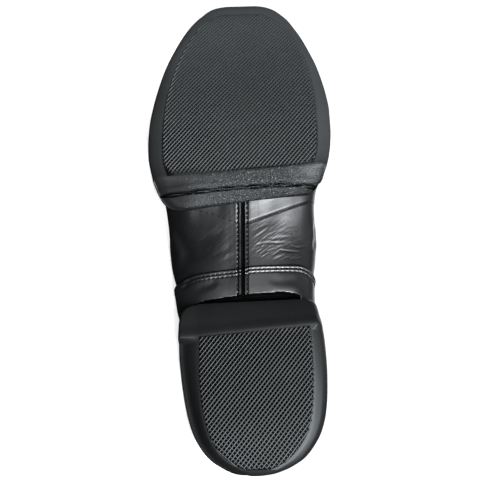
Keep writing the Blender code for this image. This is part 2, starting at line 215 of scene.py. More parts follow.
def path_distance(path: Array, points: Array) -> tuple[Array, Array, Array]:
    """Distance of points from a drawn line.

    Args:
        path: Corners of the line, two columns.
        points: Points, two columns.

    Returns:
        The distance, the signed side and the share of the way along the line.
    """
    steps = np.diff(path, axis=0)
    lengths = np.linalg.norm(steps, axis=1)
    run = run_length(lengths)
    best = np.full(len(points), np.inf)
    side = np.zeros(len(points))
    share = np.zeros(len(points))
    for start, step, length, before in zip(path[:-1], steps, lengths, run):
        offset = points - start
        part = np.clip(offset @ step / length**2, 0.0, 1.0)
        apart = offset - part[:, None] * step
        distance = np.linalg.norm(apart, axis=1)
        closer = distance < best
        cross = step[0] * offset[:, 1] - step[1] * offset[:, 0]
        best = np.where(closer, distance, best)
        side = np.where(closer, np.sign(cross), side)
        share = np.where(closer, (before + part * length) / run[-1], share)
    return best, side, share


@dataclass(frozen=True)
class ShoePose:
    """Place of the lying shoe, read from the record's two tread mounts."""

    fore_name: str = "forefoot_tread"
    heel_name: str = "heel_tread"
    fore_point: Triple = (150.0, -2.0, 0.0)
    heel_point: Triple = (32.0, 3.0, 0.0)

    def matrix(self, record: dict) -> Array:
        """Work out the move from the shoe's frame to the row's.

        Args:
            record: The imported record.

        Returns:
            A 4 by 4 matrix from millimetres in the shoe to metres in the row.
        """
        mounts = {mount["name"]: mount for mount in record["mounts"]}
        fore = np.array(mounts[self.fore_name]["pos_m"])
        heel = np.array(mounts[self.heel_name]["pos_m"])
        up_row = unit(-np.array(mounts[self.fore_name]["axis"]))
        along_row = fore - heel
        along_row = unit(along_row - up_row * (along_row @ up_row))
        row_axes = np.column_stack([along_row, np.cross(up_row, along_row), up_row])
        up_shoe = np.array([0.0, 0.0, 1.0])
        along_shoe = unit(np.array(self.fore_point) - np.array(self.heel_point))
        shoe_axes = np.column_stack([along_shoe, np.cross(up_shoe, along_shoe), up_shoe])
        turn = row_axes @ shoe_axes.T
        result = np.eye(4)
        result[:3, :3] = turn * MM
        result[:3, 3] = fore - turn @ np.array(self.fore_point) * MM
        return result


@dataclass
class ShoeForm:
    """Outer form of the upper: smooth sections from the heel to the toe."""

    sections: Table = (
        (1, 0, 0, 10.5, 24, 82, 58, 2.4, 2),
        (1.6, 6.6, 7, 10.3, 24, 82, 58, 2.6, 2),
        (4, 13.6, 15.2, 10, 24, 82, 57.5, 2.8, 2),
        (9, 19.2, 21.8, 9.7, 24, 82, 56.4, 3, 2),
        (17, 23.8, 27.4, 9.4, 24, 82, 54.2, 3.2, 2),
        (28, 26.4, 30.4, 9.2, 24, 82, 51.2, 3.2, 2),
        (42, 28.4, 31.6, 9.2, 24, 83, 48.8, 3.2, 2),
        (56, 31.2, 31.4, 9.4, 24, 84, 48, 3.2, 2),
        (70, 33.3, 31, 10.2, 24.5, 84.5, 49, 3, 2),
        (82, 35.2, 31.4, 11.6, 26, 84, 52, 2.8, 2),
        (94, 38.6, 33.8, 12.8, 29, 81, 58, 2.7, 2),
        (104, 40.1, 35, 12.6, 31, 77.5, 64.5, 2.7, 2),
        (112, 40.5, 35, 11.2, 30, 74, 69, 2.8, 2),
        (118, 40.6, 34.8, 9.6, 28, 71.2, 71.2, 3, 2),
        (127, 41.6, 34.8, 6.8, 24, 67, 67, 3.3, 2),
        (138, 44.2, 37.2, 4.7, 20, 60.5, 60.5, 3.7, 2),
        (152, 46.6, 41.2, 4.2, 17, 51.5, 51.5, 4, 2.05),
        (166, 46.2, 41.4, 4.2, 17, 44, 44, 4, 2.1),
        (180, 43.6, 39.8, 4.7, 17, 38, 38, 4, 2.2),
        (194, 39.6, 37, 6, 17.6, 34, 34, 3.8, 2.3),
        (207, 35, 33.2, 8, 19, 32, 32, 3.6, 2.4),
        (218, 30, 28.8, 10.2, 20.5, 31.2, 31.2, 3.4, 2.5),
        (226, 25.2, 24.6, 12.1, 21.8, 30.8, 30.8, 3.2, 2.5),
        (232, 20.2, 20, 13.8, 22.6, 30.2, 30.2, 3, 2.4),
        (236, 14.8, 14.6, 15.3, 23, 29, 29, 2.8, 2.2),
        (238, 8.6, 8.6, 16.6, 23, 27.4, 27.4, 2.6, 2),
        (238.6, 0, 0, 18.2, 23, 25.8, 25.8, 2.4, 2),
    )
    lean: Table = ((9, 4), (15, 1.2), (24, 0), (40, 1.5), (58, 5))
    lean_reach: float = 60.0
    crown_shift: float = 5.0
    crown_shift_from: float = 104.0
    crown_shift_to: float = 127.0
    crown_shift_width: float = 20.0
    arch_rise: Span = (60.0, 72.0)
    arch_fall: Span = (130.0, 142.0)
    seam_y: float = -2.0
    throat_x: float = 118.0
    panel_share: float = 0.88
    sock_share: float = 0.8
    station_count: int = 1000
    share_count: int = 301
    section_points: int = 150
    seam_reach: float = 30.0
    least_width: float = 0.1
    no_floor: float = 99.0

    def __post_init__(self) -> None:
        """Work out the dense table of points that the pieces read."""
        self.last = len(self.sections) - 1
        self.stations = np.linspace(0.0, self.last, self.station_count)
        self.rows = spline_rows(self.sections, self.stations)
        self.station_x = np.maximum.accumulate(self.rows[:, 0])
        width = 0.5 * (self.rows[:, 1] + self.rows[:, 2])
        steps = np.hypot(np.diff(self.rows[:, 0]), np.diff(width))
        self.run = run_length(steps)
        self.lengths: dict[Side, Array] = {}
        self.panel_top: dict[Side, Array] = {}
        self.sock_edge: dict[Side, Array] = {}
        halves = {side: self._half(side) for side in Side}
        lateral = halves[Side.LATERAL][:, ::-1]
        self.points = np.concatenate([lateral[:, :-1], halves[Side.MEDIAL]], axis=1)
        along = np.gradient(self.points, axis=0)
        around = np.gradient(self.points, axis=1)
        self.normals = unit(np.cross(around, along))
        self.normals[0] = (-1.0, 0.0, 0.0)
        self.normals[-1] = (1.0, 0.0, 0.0)

    def _half(self, side: Side) -> Array:
        """Dense points of one half of the form.

        Args:
            side: The half to make.

        Returns:
            Points by station and by share of the way from the keel to the top edge.
        """
        shares = np.linspace(0.0, 1.0, self.share_count)
        points = np.empty((self.station_count, self.share_count, 3))
        marks = np.empty((3, self.station_count))
        for number, row in enumerate(self.rows):
            curve, panel_row, sock_row = self._section(row, side)
            run = run_length(np.linalg.norm(np.diff(curve, axis=0), axis=1))
            marks[:, number] = run[-1], run[panel_row] / run[-1], run[sock_row] / run[-1]
            for axis in range(3):
                points[number, :, axis] = np.interp(shares * run[-1], run, curve[:, axis])
        self.lengths[side], self.panel_top[side], self.sock_edge[side] = marks
        return points

    def _section(self, row: Array, side: Side) -> tuple[Array, int, int]:
        """Half of one section, from the keel round to the top edge.

        Args:
            row: One row of the section table.
            side: The half to make.

        Returns:
            The points and the numbers of those at the heel panel's top and the sock's edge.
        """
        x, lateral, medial, keel, waist, crown, topline, low, high = row
        width = max(medial if side is Side.MEDIAL else lateral, 0.0)
        even = np.linspace(0.0, 1.0, self.section_points)
        by_width = np.arcsin(even ** (low / 2.0))
        angle = np.sort(np.concatenate([by_width, 0.5 * math.pi * even[1:-1]]))
        across = np.sin(angle) ** (2.0 / low)
        y_low = side.value * width * across
        z_low = waist - (waist - keel) * np.maximum(np.cos(angle), 0.0) ** (2.0 / low)
        y_low = y_low + self.seam_y * (1.0 - np.sin(angle)) * self.arch_weight(x)
        rise = min((topline - waist) / (crown - waist), 1.0)
        turn = math.asin(rise ** (high / 2.0)) * even[1:]
        height = np.sin(turn) ** (2.0 / high)
        y_high = side.value * width * np.maximum(np.cos(turn), 0.0) ** (2.0 / high)
        closed = float(ramp(x, self.crown_shift_from, self.crown_shift_to))
        y_high = y_high + self.crown_shift * height**2 * closed * min(width / self.crown_shift_width, 1.0)
        z_high = waist + (crown - waist) * height
        y, z = np.concatenate([y_low, y_high]), np.concatenate([z_low, z_high])
        heights, shifts = np.array(self.lean).T
        fade = max(1.0 - x / self.lean_reach, 0.0) ** 2
        curve = np.column_stack([x + np.interp(z, heights, shifts) * fade, y, z])
        panel_row = len(y_low) + int(self.panel_share * (len(y_high) - 1))
        return curve, panel_row, int(np.searchsorted(across, self.sock_share))

    def arch_weight(self, x: Array | float) -> Array:
        """One in the arch and zero under the two soles."""
        return plateau(x, self.arch_rise, self.arch_fall)

    def position(self, x: Array | float) -> Array:
        """Row number of the section at x."""
        return np.interp(x, self.station_x, self.stations)

    def spread(self, start: float, end: float, spacing: float) -> Array:
        """Row numbers spaced evenly along the outline, without the last one.

        Args:
            start: First x.
            end: Last x.
            spacing: Distance between two rows.

        Returns:
            Fractional row numbers.
        """
        first, last = np.interp([start, end], self.station_x, self.run)
        count = max(int(round((last - first) / spacing)), 1)
        runs = np.linspace(first, last, count + 1)[:-1]
        return np.interp(runs, self.run, self.stations)

    def length(self, position: Array, share: Array) -> Array:
        """Girth from the keel to the top edge on the side that the share names."""
        return self.by_side(self.lengths, position, share)

    def by_side(self, table: dict[Side, Array], position: Array, share: Array) -> Array:
        """Values of a table with a row for each side, on the side that the share names."""
        lateral, medial = (np.interp(position, self.stations, table[side]) for side in Side)
        return np.where(share < 0.0, lateral, medial)

    def sample(self, position: Array, share: Array) -> tuple[Array, Array]:
        """Points and outward normals of the form.

        Args:
            position: Row numbers.
            share: Signed shares of the girth, from the lateral to the medial top edge.

        Returns:
            Points and unit normals, one for each pair.
        """
        row = np.clip(position / self.last, 0.0, 1.0) * (self.station_count - 1)
        column = np.clip(share + 1.0, 0.0, 2.0) * (self.share_count - 1)
        r = np.minimum(row.astype(int), self.station_count - 2)
        c = np.minimum(column.astype(int), 2 * self.share_count - 3)
        down, right = (row - r)[..., None], (column - c)[..., None]
        results = []
        for source in (self.points, self.normals):
            upper = source[r, c] * (1.0 - right) + source[r, c + 1] * right
            lower = source[r + 1, c] * (1.0 - right) + source[r + 1, c + 1] * right
            results.append(upper * (1.0 - down) + lower * down)
        return results[0], unit(results[1])

    def floor_height(self, x: Array, y: Array) -> Array:
        """Height of the form's underside over a point of the floor.

        Args:
            x: Places along the shoe.
            y: Places across the shoe.

        Returns:
            Heights, large where the point lies outside the form.
        """
        rows = spline_rows(self.sections, np.ravel(self.position(x))).T
        _, lateral, medial, keel, waist, _, _, low, _ = rows.reshape((-1,) + np.shape(x))
        near = 1.0 - np.clip(np.abs(y) / self.seam_reach, 0.0, 1.0)
        shifted = y - self.seam_y * self.arch_weight(x) * near
        width = np.maximum(np.where(shifted > 0.0, medial, lateral), self.least_width)
        share = np.clip(np.abs(shifted) / width, 0.0, 1.0)
        height = waist - (waist - keel) * (1.0 - share**low) ** (1.0 / low)
        return np.where(np.abs(shifted) < width, height, self.no_floor)


@dataclass(frozen=True)
class Crease:
    """Soft trough, or ridge where the depth is below zero, drawn on one face of the shoe."""

    plane: Plane
    path: Table
    width: float
    depth: float
    lip: float = 0.0
    fade: float = 0.3
    reach: float = 4.0
    lip_out: float = 2.0

    def relief(self, points: Array, share: Array) -> Array:
        """Rise of the surface at each point.

        Args:
            points: Points of the form.
            share: Signed shares of the girth there.

        Returns:
            Heights over the form.
        """
        columns, inside = face_columns(self.plane, points, share)
        path = np.array(self.path)
        reach = self.reach * self.width
        low, high = path.min(axis=0) - reach, path.max(axis=0) + reach
        near = inside & np.all((columns > low) & (columns < high), axis=1)
        result = np.zeros(len(points))
        if near.any():
            distance, _, along = path_distance(path, columns[near])
            lips = self.lip * bell(distance, self.lip_out * self.width, self.width)
            taper = plateau(along, (0.0, self.fade), (1.0 - self.fade, 1.0))
            result[near] = (lips - self.depth * bell(distance, 0.0, self.width)) * taper
        return result


def drawn(rows: dict[Plane, tuple]) -> tuple[Crease, ...]:
    """Creases of several faces, each from its path, width, depth and lip."""
    return tuple(Crease(plane, *row) for plane, group in rows.items() for row in group)


def face_columns(plane: Plane, points: Array, share: Array) -> tuple[Array, Array]:
    """Drawing columns of a face of the shoe.

    Args:
        plane: The face.
        points: Points of the form.
        share: Signed shares of the girth there.

    Returns:
        Two columns to draw in, and which points lie on the face.
    """
    if plane is Plane.FLOOR:
        return points[:, :2], np.abs(share) < FLOOR_SHARE
    if plane is Plane.TOP:
        return points[:, :2], np.abs(share) > FLOOR_SHARE
    sign = -1.0 if plane is Plane.LATERAL else 1.0
    return points[:, [0, 2]], share * sign > SIDE_SHARE


def shade_painted_quads(painted_shade_marks: Array, above: float = 0.5) -> Array:
    """Quads that take the painted-shade material: those inside a gap, a stitch hole and other marks of
    painted shade.
    """
    mean = 0.25 * (painted_shade_marks[:-1, :-1] + painted_shade_marks[1:, :-1] + painted_shade_marks[:-1, 1:] + painted_shade_marks[1:, 1:])
    return (mean > above).astype(int)


@dataclass
class MeshBuilder:
    """Collects grids of points and turns them into one mesh piece."""

    name: str
    points: list[Array] = field(default_factory=list)
    faces: Faces = field(default_factory=list)
    slots: list[int] = field(default_factory=list)
    marks: dict[str, list[Array]] = field(default_factory=lambda: {name: [] for name in MARKS})
    count: int = 0

    def grid(self, points: Array, slot: Array | int = 0, keep: Array | None = None, flip: bool = False,
             **marks: Array | float) -> None:
        """Add a grid of quads.

        Args:
            points: Points by row and column.
            slot: Material slot of the faces, or of each face.
            keep: Which quads to keep, or None for all.
            flip: Whether to turn the faces over.
            marks: Surface marks at the points by name.
        """
        rows, columns = points.shape[:2]
        numbers = np.arange(rows * columns).reshape(rows, columns)
        corners = [numbers[:-1, :-1], numbers[:-1, 1:], numbers[1:, 1:], numbers[1:, :-1]]
        quads = np.stack(corners[::-1] if flip else corners, axis=-1)
        kept = np.ones((rows - 1, columns - 1), dtype=bool) if keep is None else keep
        flat = {name: np.broadcast_to(mark, (rows, columns)).ravel() for name, mark in marks.items()}
        self.add(points.reshape(-1, 3), quads[kept], np.broadcast_to(slot, kept.shape)[kept], **flat)

    def add(self, points: Array, faces: Array, slot: Array | int = 0, **marks: Array | float) -> None:
        """Add points and faces.

        Args:
            points: Points in the shoe's frame.
            faces: Faces as numbers into those points.
            slot: Material slot of the faces.
            marks: Surface marks at the points by name.
        """
        self.points.append(points)
        self.faces.extend(tuple(face) for face in (np.asarray(faces) + self.count).tolist())
        self.slots.extend(np.broadcast_to(slot, (len(faces),)).tolist())
        for name in MARKS:
            self.marks[name].append(np.broadcast_to(marks.get(name, 0.0), (len(points),)))
        self.count += len(points)

    def cap(self, loop: Array, flip: bool) -> None:
        """Close the end of a loft with a fan of triangles.

        Args:
            loop: Points round the end.
            flip: Whether to turn the faces over.
        """
        size = len(loop)
        faces = np.array([(number, (number + 1) % size, size) for number in range(size)])
        self.add(np.vstack([loop, loop.mean(axis=0)]), faces[:, ::-1] if flip else faces)

    def build(self, pose: Array, materials: list[Material]) -> Piece:
        """Make the piece.

        Args:
            pose: Move from the shoe to the row.
            materials: Materials by slot.

        Returns:
            The new object.
        """
        points = np.concatenate(self.points) @ pose[:3, :3].T + pose[:3, 3]
        data = bpy.data.meshes.new(self.name)
        data.from_pydata(points.tolist(), [], self.faces)
        for name in MARKS:
            mark = data.attributes.new(name, "FLOAT", "POINT")
            mark.data.foreach_set("value", np.concatenate(self.marks[name]))
        for material in materials:
            data.materials.append(material)
        data.polygons.foreach_set("material_index", np.array(self.slots, dtype=np.int32))
        work = bmesh.new()
        work.from_mesh(data)
        bmesh.ops.remove_doubles(work, verts=work.verts, dist=WELD_M)
        bmesh.ops.dissolve_degenerate(work, edges=work.edges, dist=WELD_M)
        loose = [vert for vert in work.verts if not vert.link_faces]
        bmesh.ops.delete(work, geom=loose, context="VERTS")
        for face in work.faces:
            face.smooth = True
        work.to_mesh(data)
        work.free()
        return placed(self.name, data)


class NodeBoard:
    """Small helper that lays out a material's nodes."""

    def __init__(self, name: str) -> None:
        """Start a material with one shader.

        Args:
            name: The material's name.
        """
        self.material = bpy.data.materials.new(name)
        self.material.use_nodes = True
        self.tree = self.material.node_tree
        self.shader = self.tree.nodes["Principled BSDF"]
        self.place = self.add("TexCoord").outputs["Object"]

    def add(self, kind: str, settings: dict | None = None, **inputs: object) -> bpy.types.Node:
        """Add a node.

        Args:
            kind: Node type without its ShaderNode prefix.
            settings: Properties of the node.
            inputs: Socket values, or sockets to link, by name with _ for spaces.

        Returns:
            The node.
        """
        node = self.tree.nodes.new("ShaderNode" + kind)
        for key, value in (settings or {}).items():
            setattr(node, key, value)
        for key, value in inputs.items():
            self.feed(node.inputs[key.replace("_", " ")], value)
        return node

    def feed(self, socket: Socket, value: object) -> None:
        """Set or link one socket.

        Args:
            socket: Socket to fill.
            value: A socket to link, or a plain value.
        """
        if isinstance(value, Socket):
            self.tree.links.new(value, socket)
        else:
            socket.default_value = value

    def scaled(self, socket: Socket, factor: object, extra: object = 0.0) -> Socket:
        """Multiply a value and add to it.

        Args:
            socket: Value to scale.
            factor: Number or socket to multiply by.
            extra: Number or socket to add.

        Returns:
            The result's socket.
        """
        node = self.add("Math", {"operation": "MULTIPLY_ADD"})
        for number, value in enumerate((socket, factor, extra)):
            self.feed(node.inputs[number], value)
        return node.outputs[0]

    def spread(self, socket: Socket, low: float, high: float) -> Socket:
        """Map a zero to one value onto a range."""
        return self.scaled(socket, high - low, low)

    def tones(self, socket: Socket, dark: object, light: object) -> Socket:
        """Colour between two tones.

        Args:
            socket: Share of the light tone.
            dark: Dark tone or its socket.
            light: Light tone or its socket.

        Returns:
            The colour's socket.
        """
        node = self.add("Mix", {"data_type": "RGBA"})
        self.feed(node.inputs[0], socket)
        for number, tone in zip(MIX_TONES, (dark, light)):
            self.feed(node.inputs[number], (*tone, 1.0) if isinstance(tone, tuple) else tone)
        return node.outputs[MIX_RESULT]

    def bump(self, height: Socket, strength: float, distance: float,
             below: Socket | None = None) -> Socket:
        """Raise the shading by a height.

        Args:
            height: Height from zero to one.
            strength: Share of the effect.
            distance: Height of one, in millimetres.
            below: Normal of another bump to add to.

        Returns:
            The normal's socket.
        """
        node = self.add("Bump", Strength=strength, Distance=distance * MM, Height=height)
        if below is not None:
            self.feed(node.inputs["Normal"], below)
        return node.outputs["Normal"]

    def mark(self, name: str) -> Socket:
        """Value of one of the mesh's surface marks."""
        return self.add("Attribute", {"attribute_name": name}).outputs["Fac"]

    def noise(self, settings: dict | None = None, **inputs: object) -> Socket:
        """Value of a noise texture, laid out in the piece's own frame unless a Vector is given."""
        return self.add("TexNoise", settings, **{"Vector": self.place, **inputs}).outputs["Fac"]

    def wave(self, direction: str, **inputs: object) -> Socket:
        """Value of a wave texture along one direction."""
        return self.add("TexWave", {"bands_direction": direction}, Vector=self.place, **inputs).outputs["Fac"]

    def dress(self, **values: object) -> Material:
        """Fill the shader.

        Args:
            values: Plain values, or sockets to link, by name with _ for spaces.

        Returns:
            The finished material.
        """
        for key, value in values.items():
            self.feed(self.shader.inputs[key.replace("_", " ")], value)
        return self.material


def per_mm(size: float) -> float:
    """Scale of a texture whose grain has this size in millimetres."""
    return 1.0 / (size * MM)


@dataclass(frozen=True)
class LeatherFinish:
    """Black satin leather with pores, fine lines and a thin dressing on top."""

    name: str
    dark: Triple = (0.002, 0.002, 0.0023)
    light: Triple = (0.005, 0.0053, 0.0058)
    rough: Span = (0.33, 0.43)
    coat: float = 0.08
    coat_rough: float = 0.3
    gloss: float = 0.38
    pore_mm: float = 0.6
    pore_rise: float = 0.035
    line_mm: float = 2.6
    line_rise: float = 0.07
    fold_mm: float = 1.5
    fold_stretch: float = 5.0
    fold_turn: float = -116.4
    fold_rise: float = 0.34
    tint: Triple = (0.93, 0.96, 1.0)
    pore_bump: float = 0.6
    line_bump: float = 0.5
    cloud_share: float = 0.5

    def make(self) -> Material:
        """Build the material.

        Returns:
            The leather material.
        """
        board = NodeBoard(self.name)
        cloud = board.noise(Scale=70.0, Detail=4.0, Roughness=0.6)
        fine = board.noise(Scale=900.0, Detail=3.0)
        pores = board.add("TexVoronoi", {"feature": "SMOOTH_F1"}, Vector=board.place,
                          Scale=per_mm(self.pore_mm)).outputs["Distance"]
        ridged = {"noise_type": "RIDGED_MULTIFRACTAL", "normalize": True}
        lines = board.noise(ridged, Scale=per_mm(self.line_mm), Detail=3.0)
        turned = board.add("Mapping", {"vector_type": "TEXTURE"}, Vector=board.place,
                           Rotation=(0.0, math.radians(self.fold_turn), 0.0),
                           Scale=(self.fold_stretch, 1.0, 1.0)).outputs["Vector"]
        folds = board.noise(Vector=turned, Scale=per_mm(self.fold_mm), Detail=2.0, Distortion=0.4)
        mixed = board.scaled(cloud, self.cloud_share, board.scaled(fine, 1.0 - self.cloud_share))
        folded = board.bump(board.scaled(folds, board.mark("grain")), 1.0, self.fold_rise)
        lined = board.bump(lines, self.line_bump, self.line_rise, folded)
        return board.dress(
            Base_Color=board.tones(cloud, self.dark, self.light),
            Roughness=board.spread(mixed, *self.rough),
            Normal=board.bump(pores, self.pore_bump, self.pore_rise, lined),
            Coat_Weight=self.coat,
            Coat_Roughness=self.coat_rough,
            Specular_Tint=(*self.tint, 1.0),
            Specular_IOR_Level=self.gloss,
        )


@dataclass(frozen=True)
class RubberFinish:
    """Black moulded rubber, smooth or with a pebble grain where the mesh asks for it; its marks add wear
    mixed with painted highlights, and painted shade.
    """

    name: str
    dark: Triple = (0.004, 0.0042, 0.0044)
    light: Triple = (0.009, 0.0095, 0.01)
    # Lighter tone of wear, also used as painted highlight on ridge crests and on the medial rim.
    worn_sheen_dark: Triple = (0.13, 0.145, 0.152)
    worn_sheen_light: Triple = (0.18, 0.2, 0.21)
    # Colour of painted shade.
    shade_paint: Triple = (0.0006, 0.0006, 0.0006)
    rough: Span = (0.38, 0.5)
    worn_rough: float = 0.2
    shade_rough: float = -0.24
    gloss: float = 0.26
    pebble_mm: float = 0.62
    pebble_rise: float = 0.6
    # Pebble tops turn lighter: partly wear, partly painted glints.
    pebble_wear_glint: Span = (-2.8, 2.0)
    skin_rise: float = 0.04
    tint: Triple = (0.9, 0.96, 1.0)
    skin_bump: float = 0.5

    def make(self) -> Material:
        """Build the material.

        Returns:
            The rubber material.
        """
        board = NodeBoard(self.name)
        grain, wear, pit = (board.mark(name) for name in MARKS)
        cloud = board.noise(Scale=45.0, Detail=5.0, Roughness=0.6)
        skin = board.noise(Scale=1400.0, Detail=2.0)
        pebble = board.noise(Scale=per_mm(self.pebble_mm), Detail=1.0)
        # Pebble tops and the wear mark lighten the tone: wear mixed with painted highlights and glints.
        rubbed_and_glint = board.scaled(board.spread(pebble, *self.pebble_wear_glint), grain, wear)
        clean = board.tones(cloud, self.dark, self.light)
        used = board.tones(rubbed_and_glint, clean, board.tones(cloud, self.worn_sheen_dark, self.worn_sheen_light))
        rough = board.scaled(wear, self.worn_rough, board.spread(cloud, *self.rough))
        below = board.bump(skin, self.skin_bump, self.skin_rise)
        return board.dress(
            # The pit mark paints shade: a near-black, glossier tone.
            Base_Color=board.tones(pit, used, self.shade_paint),
            Roughness=board.scaled(pit, self.shade_rough, rough),
            Normal=board.bump(board.scaled(pebble, grain), 1.0, self.pebble_rise, below),
            Specular_Tint=(*self.tint, 1.0),
            Specular_IOR_Level=self.gloss,
        )


@dataclass(frozen=True)
class ClothFinish:
    """Dark woven cloth for the sock and the lining."""

    name: str
    dark: Triple = (0.02, 0.02, 0.021)
    light: Triple = (0.055, 0.056, 0.06)
    yarn_mm: float = 0.7
    rise: float = 0.16
    sheen: float = 0.25
    rough: Span = (0.82, 0.95)
    weave_bump: float = 0.8
    weave_share: float = 0.5
    waves_per_yarn: float = 0.05

    def make(self) -> Material:
        """Build the material.

        Returns:
            The cloth material.
        """
        board = NodeBoard(self.name)
        scale = self.waves_per_yarn * math.pi * per_mm(self.yarn_mm)
        weave = board.scaled(*(board.wave(axis, Scale=scale, Distortion=0.6) for axis in ("X", "Z")))
        cloud = board.noise(Scale=60.0, Detail=4.0)
        tone = board.scaled(cloud, 1.0 - self.weave_share, board.scaled(weave, self.weave_share))
        return board.dress(
            Base_Color=board.tones(tone, self.dark, self.light),
            Roughness=board.spread(cloud, *self.rough),
            Normal=board.bump(weave, self.weave_bump, self.rise),
            Sheen_Weight=self.sheen,
            Sheen_Roughness=0.4,
        )


@dataclass(frozen=True)
class ThreadFinish:
    """Waxed black thread with a twist."""

    name: str = "black_thread"
    dark: Triple = (0.002, 0.002, 0.002)
    light: Triple = (0.006, 0.006, 0.0065)
    twist_mm: float = 0.35
    twist_rise: float = 0.06
    twist_bump: float = 0.7
    waves_per_twist: float = 0.1
    rough: Span = (0.6, 0.8)
    gloss: float = 0.08

    def make(self) -> Material:
        """Build the material.

        Returns:
            The thread material.
        """
        board = NodeBoard(self.name)
        twist = board.wave("DIAGONAL", Scale=self.waves_per_twist * math.pi * per_mm(self.twist_mm))
        return board.dress(
            Base_Color=board.tones(twist, self.dark, self.light),
            Roughness=board.spread(twist, *self.rough),
            Normal=board.bump(twist, self.twist_bump, self.twist_rise),
            Specular_IOR_Level=self.gloss,
        )


@dataclass(frozen=True)
class StageFinish:
    """Plain pale studio paper."""

    name: str = "studio_paper"
    dark: Triple = (0.86, 0.86, 0.86)
    light: Triple = (0.9, 0.9, 0.9)
    glow: float = 0.8

    def make(self) -> Material:
        """Build the material.

        Returns:
            The paper material.
        """
        board = NodeBoard(self.name)
        return board.dress(
            Base_Color=board.tones(board.noise(Scale=3.0), self.dark, self.light),
            Roughness=0.9,
            Specular_IOR_Level=0.1,
            Emission_Color=(1.0, 1.0, 1.0, 1.0),
            Emission_Strength=self.glow,
        )


@dataclass
class SeamLine:
    """Raised centre seam of the arch: two stitched edges with a gap between them."""

    profile: Table = (
        (-7, 0), (-4.6, 0.1), (-3.3, 0.2), (-2.9, 0.12), (-2.6, 0.04), (-2.3, 0.12), (-1.95, 0.4),
        (-1.6, 0.58), (-1.25, 0.56), (-1, 0.3), (-0.8, -0.3), (-0.6, -0.85), (0, -1), (0.45, -0.85),
        (0.7, -0.3), (0.9, 0.25), (1.15, 0.38), (1.4, 0.3), (1.7, 0.08), (2.05, 0.02), (2.4, 0.1),
        (2.9, 0.2), (3.8, 0.18), (5.4, 0.08), (7, 0),
    )
    # Half-width of the painted shade in the seam's gap.
    gap_shade_width: float = 0.72
    start_x: float = 70.0
    end_x: float = 126.0
    y_front: float = -2.2
    y_back: float = -3.0
    x_front: float = 113.0
    x_back: float = 80.0
    stitch_rows: Span = (-2.6, 2.05)
    pitch: float = 2.2
    dip: float = 0.2
    dip_width: float = 0.34
    end_fade: float = 2.0
    reach: float = 0.3
    groove_power: int = 6
    # Share of painted shade in the stitch holes.
    hole_shade: float = 0.9

    def centre(self, x: Array) -> Array:
        """Place of the seam across the shoe."""
        return self.y_front + (x - self.x_front) * (self.y_back - self.y_front) / (self.x_back - self.x_front)

    def apart(self, points: Array) -> Array:
        """Signed distance of points from the seam."""
        return points[:, 1] - self.centre(points[:, 0])

    def relief(self, points: Array, share: Array) -> Array:
        """Rise of the surface along the seam.

        Args:
            points: Points of the form.
            share: Signed shares of the girth there.

        Returns:
            Heights over the form.
        """
        start, end, fade = self.start_x, self.end_x, self.end_fade
        inside = plateau(points[:, 0], (start, start + fade), (end - fade, end))
        rise = np.interp(self.apart(points), *np.array(self.profile).T) - self.dip * self._stitched(points)
        return rise * inside * (np.abs(share) < self.reach)

    def painted_shade_marks(self, points: Array, share: Array) -> Array:
        """Painted shade in the gap and in the stitch holes.

        Args:
            points: Points of the form.
            share: Signed shares of the girth there.

        Returns:
            One where shade is painted on the seam.
        """
        x = points[:, 0]
        inside = (x > self.start_x) & (x < self.end_x) & (np.abs(share) < self.reach)
        gap = np.exp(-((self.apart(points) / self.gap_shade_width) ** self.groove_power))
        return np.maximum(gap, self.hole_shade * self._stitched(points)) * inside

    def _stitched(self, points: Array) -> Array:
        """One at each stitch of the two rows beside the seam, zero elsewhere."""
        rows = [bell(self.apart(points), row, self.dip_width) for row in self.stitch_rows]
        return dashes(points[:, 0], self.pitch) * np.maximum(*rows)


@dataclass
class LapSeam:
    """Edge of one leather piece lapped over another, drawn on the arch."""

    path: Table
    profile: Table
    # Profile of painted shade across the lapped edge.
    shade_paint: Table
    fade: float = 0.04

    def relief(self, points: Array, share: Array) -> Array:
        """Rise of the surface beside the lap.

        Args:
            points: Points of the form.
            share: Signed shares of the girth there.

        Returns:
            Heights over the form.
        """
        distance, side, along = path_distance(np.array(self.path), points[:, :2])
        rise = np.interp(distance * side, *np.array(self.profile).T, left=0.0, right=0.0)
        return rise * ramp(along, 0.0, self.fade) * (np.abs(share) < FLOOR_SHARE)

    def painted_shade_marks(self, points: Array, share: Array) -> Array:
        """Painted shade along the open edge."""
        distance, side, _ = path_distance(np.array(self.path), points[:, :2])
        return np.interp(distance * side, *np.array(self.shade_paint).T) * (np.abs(share) < FLOOR_SHARE)


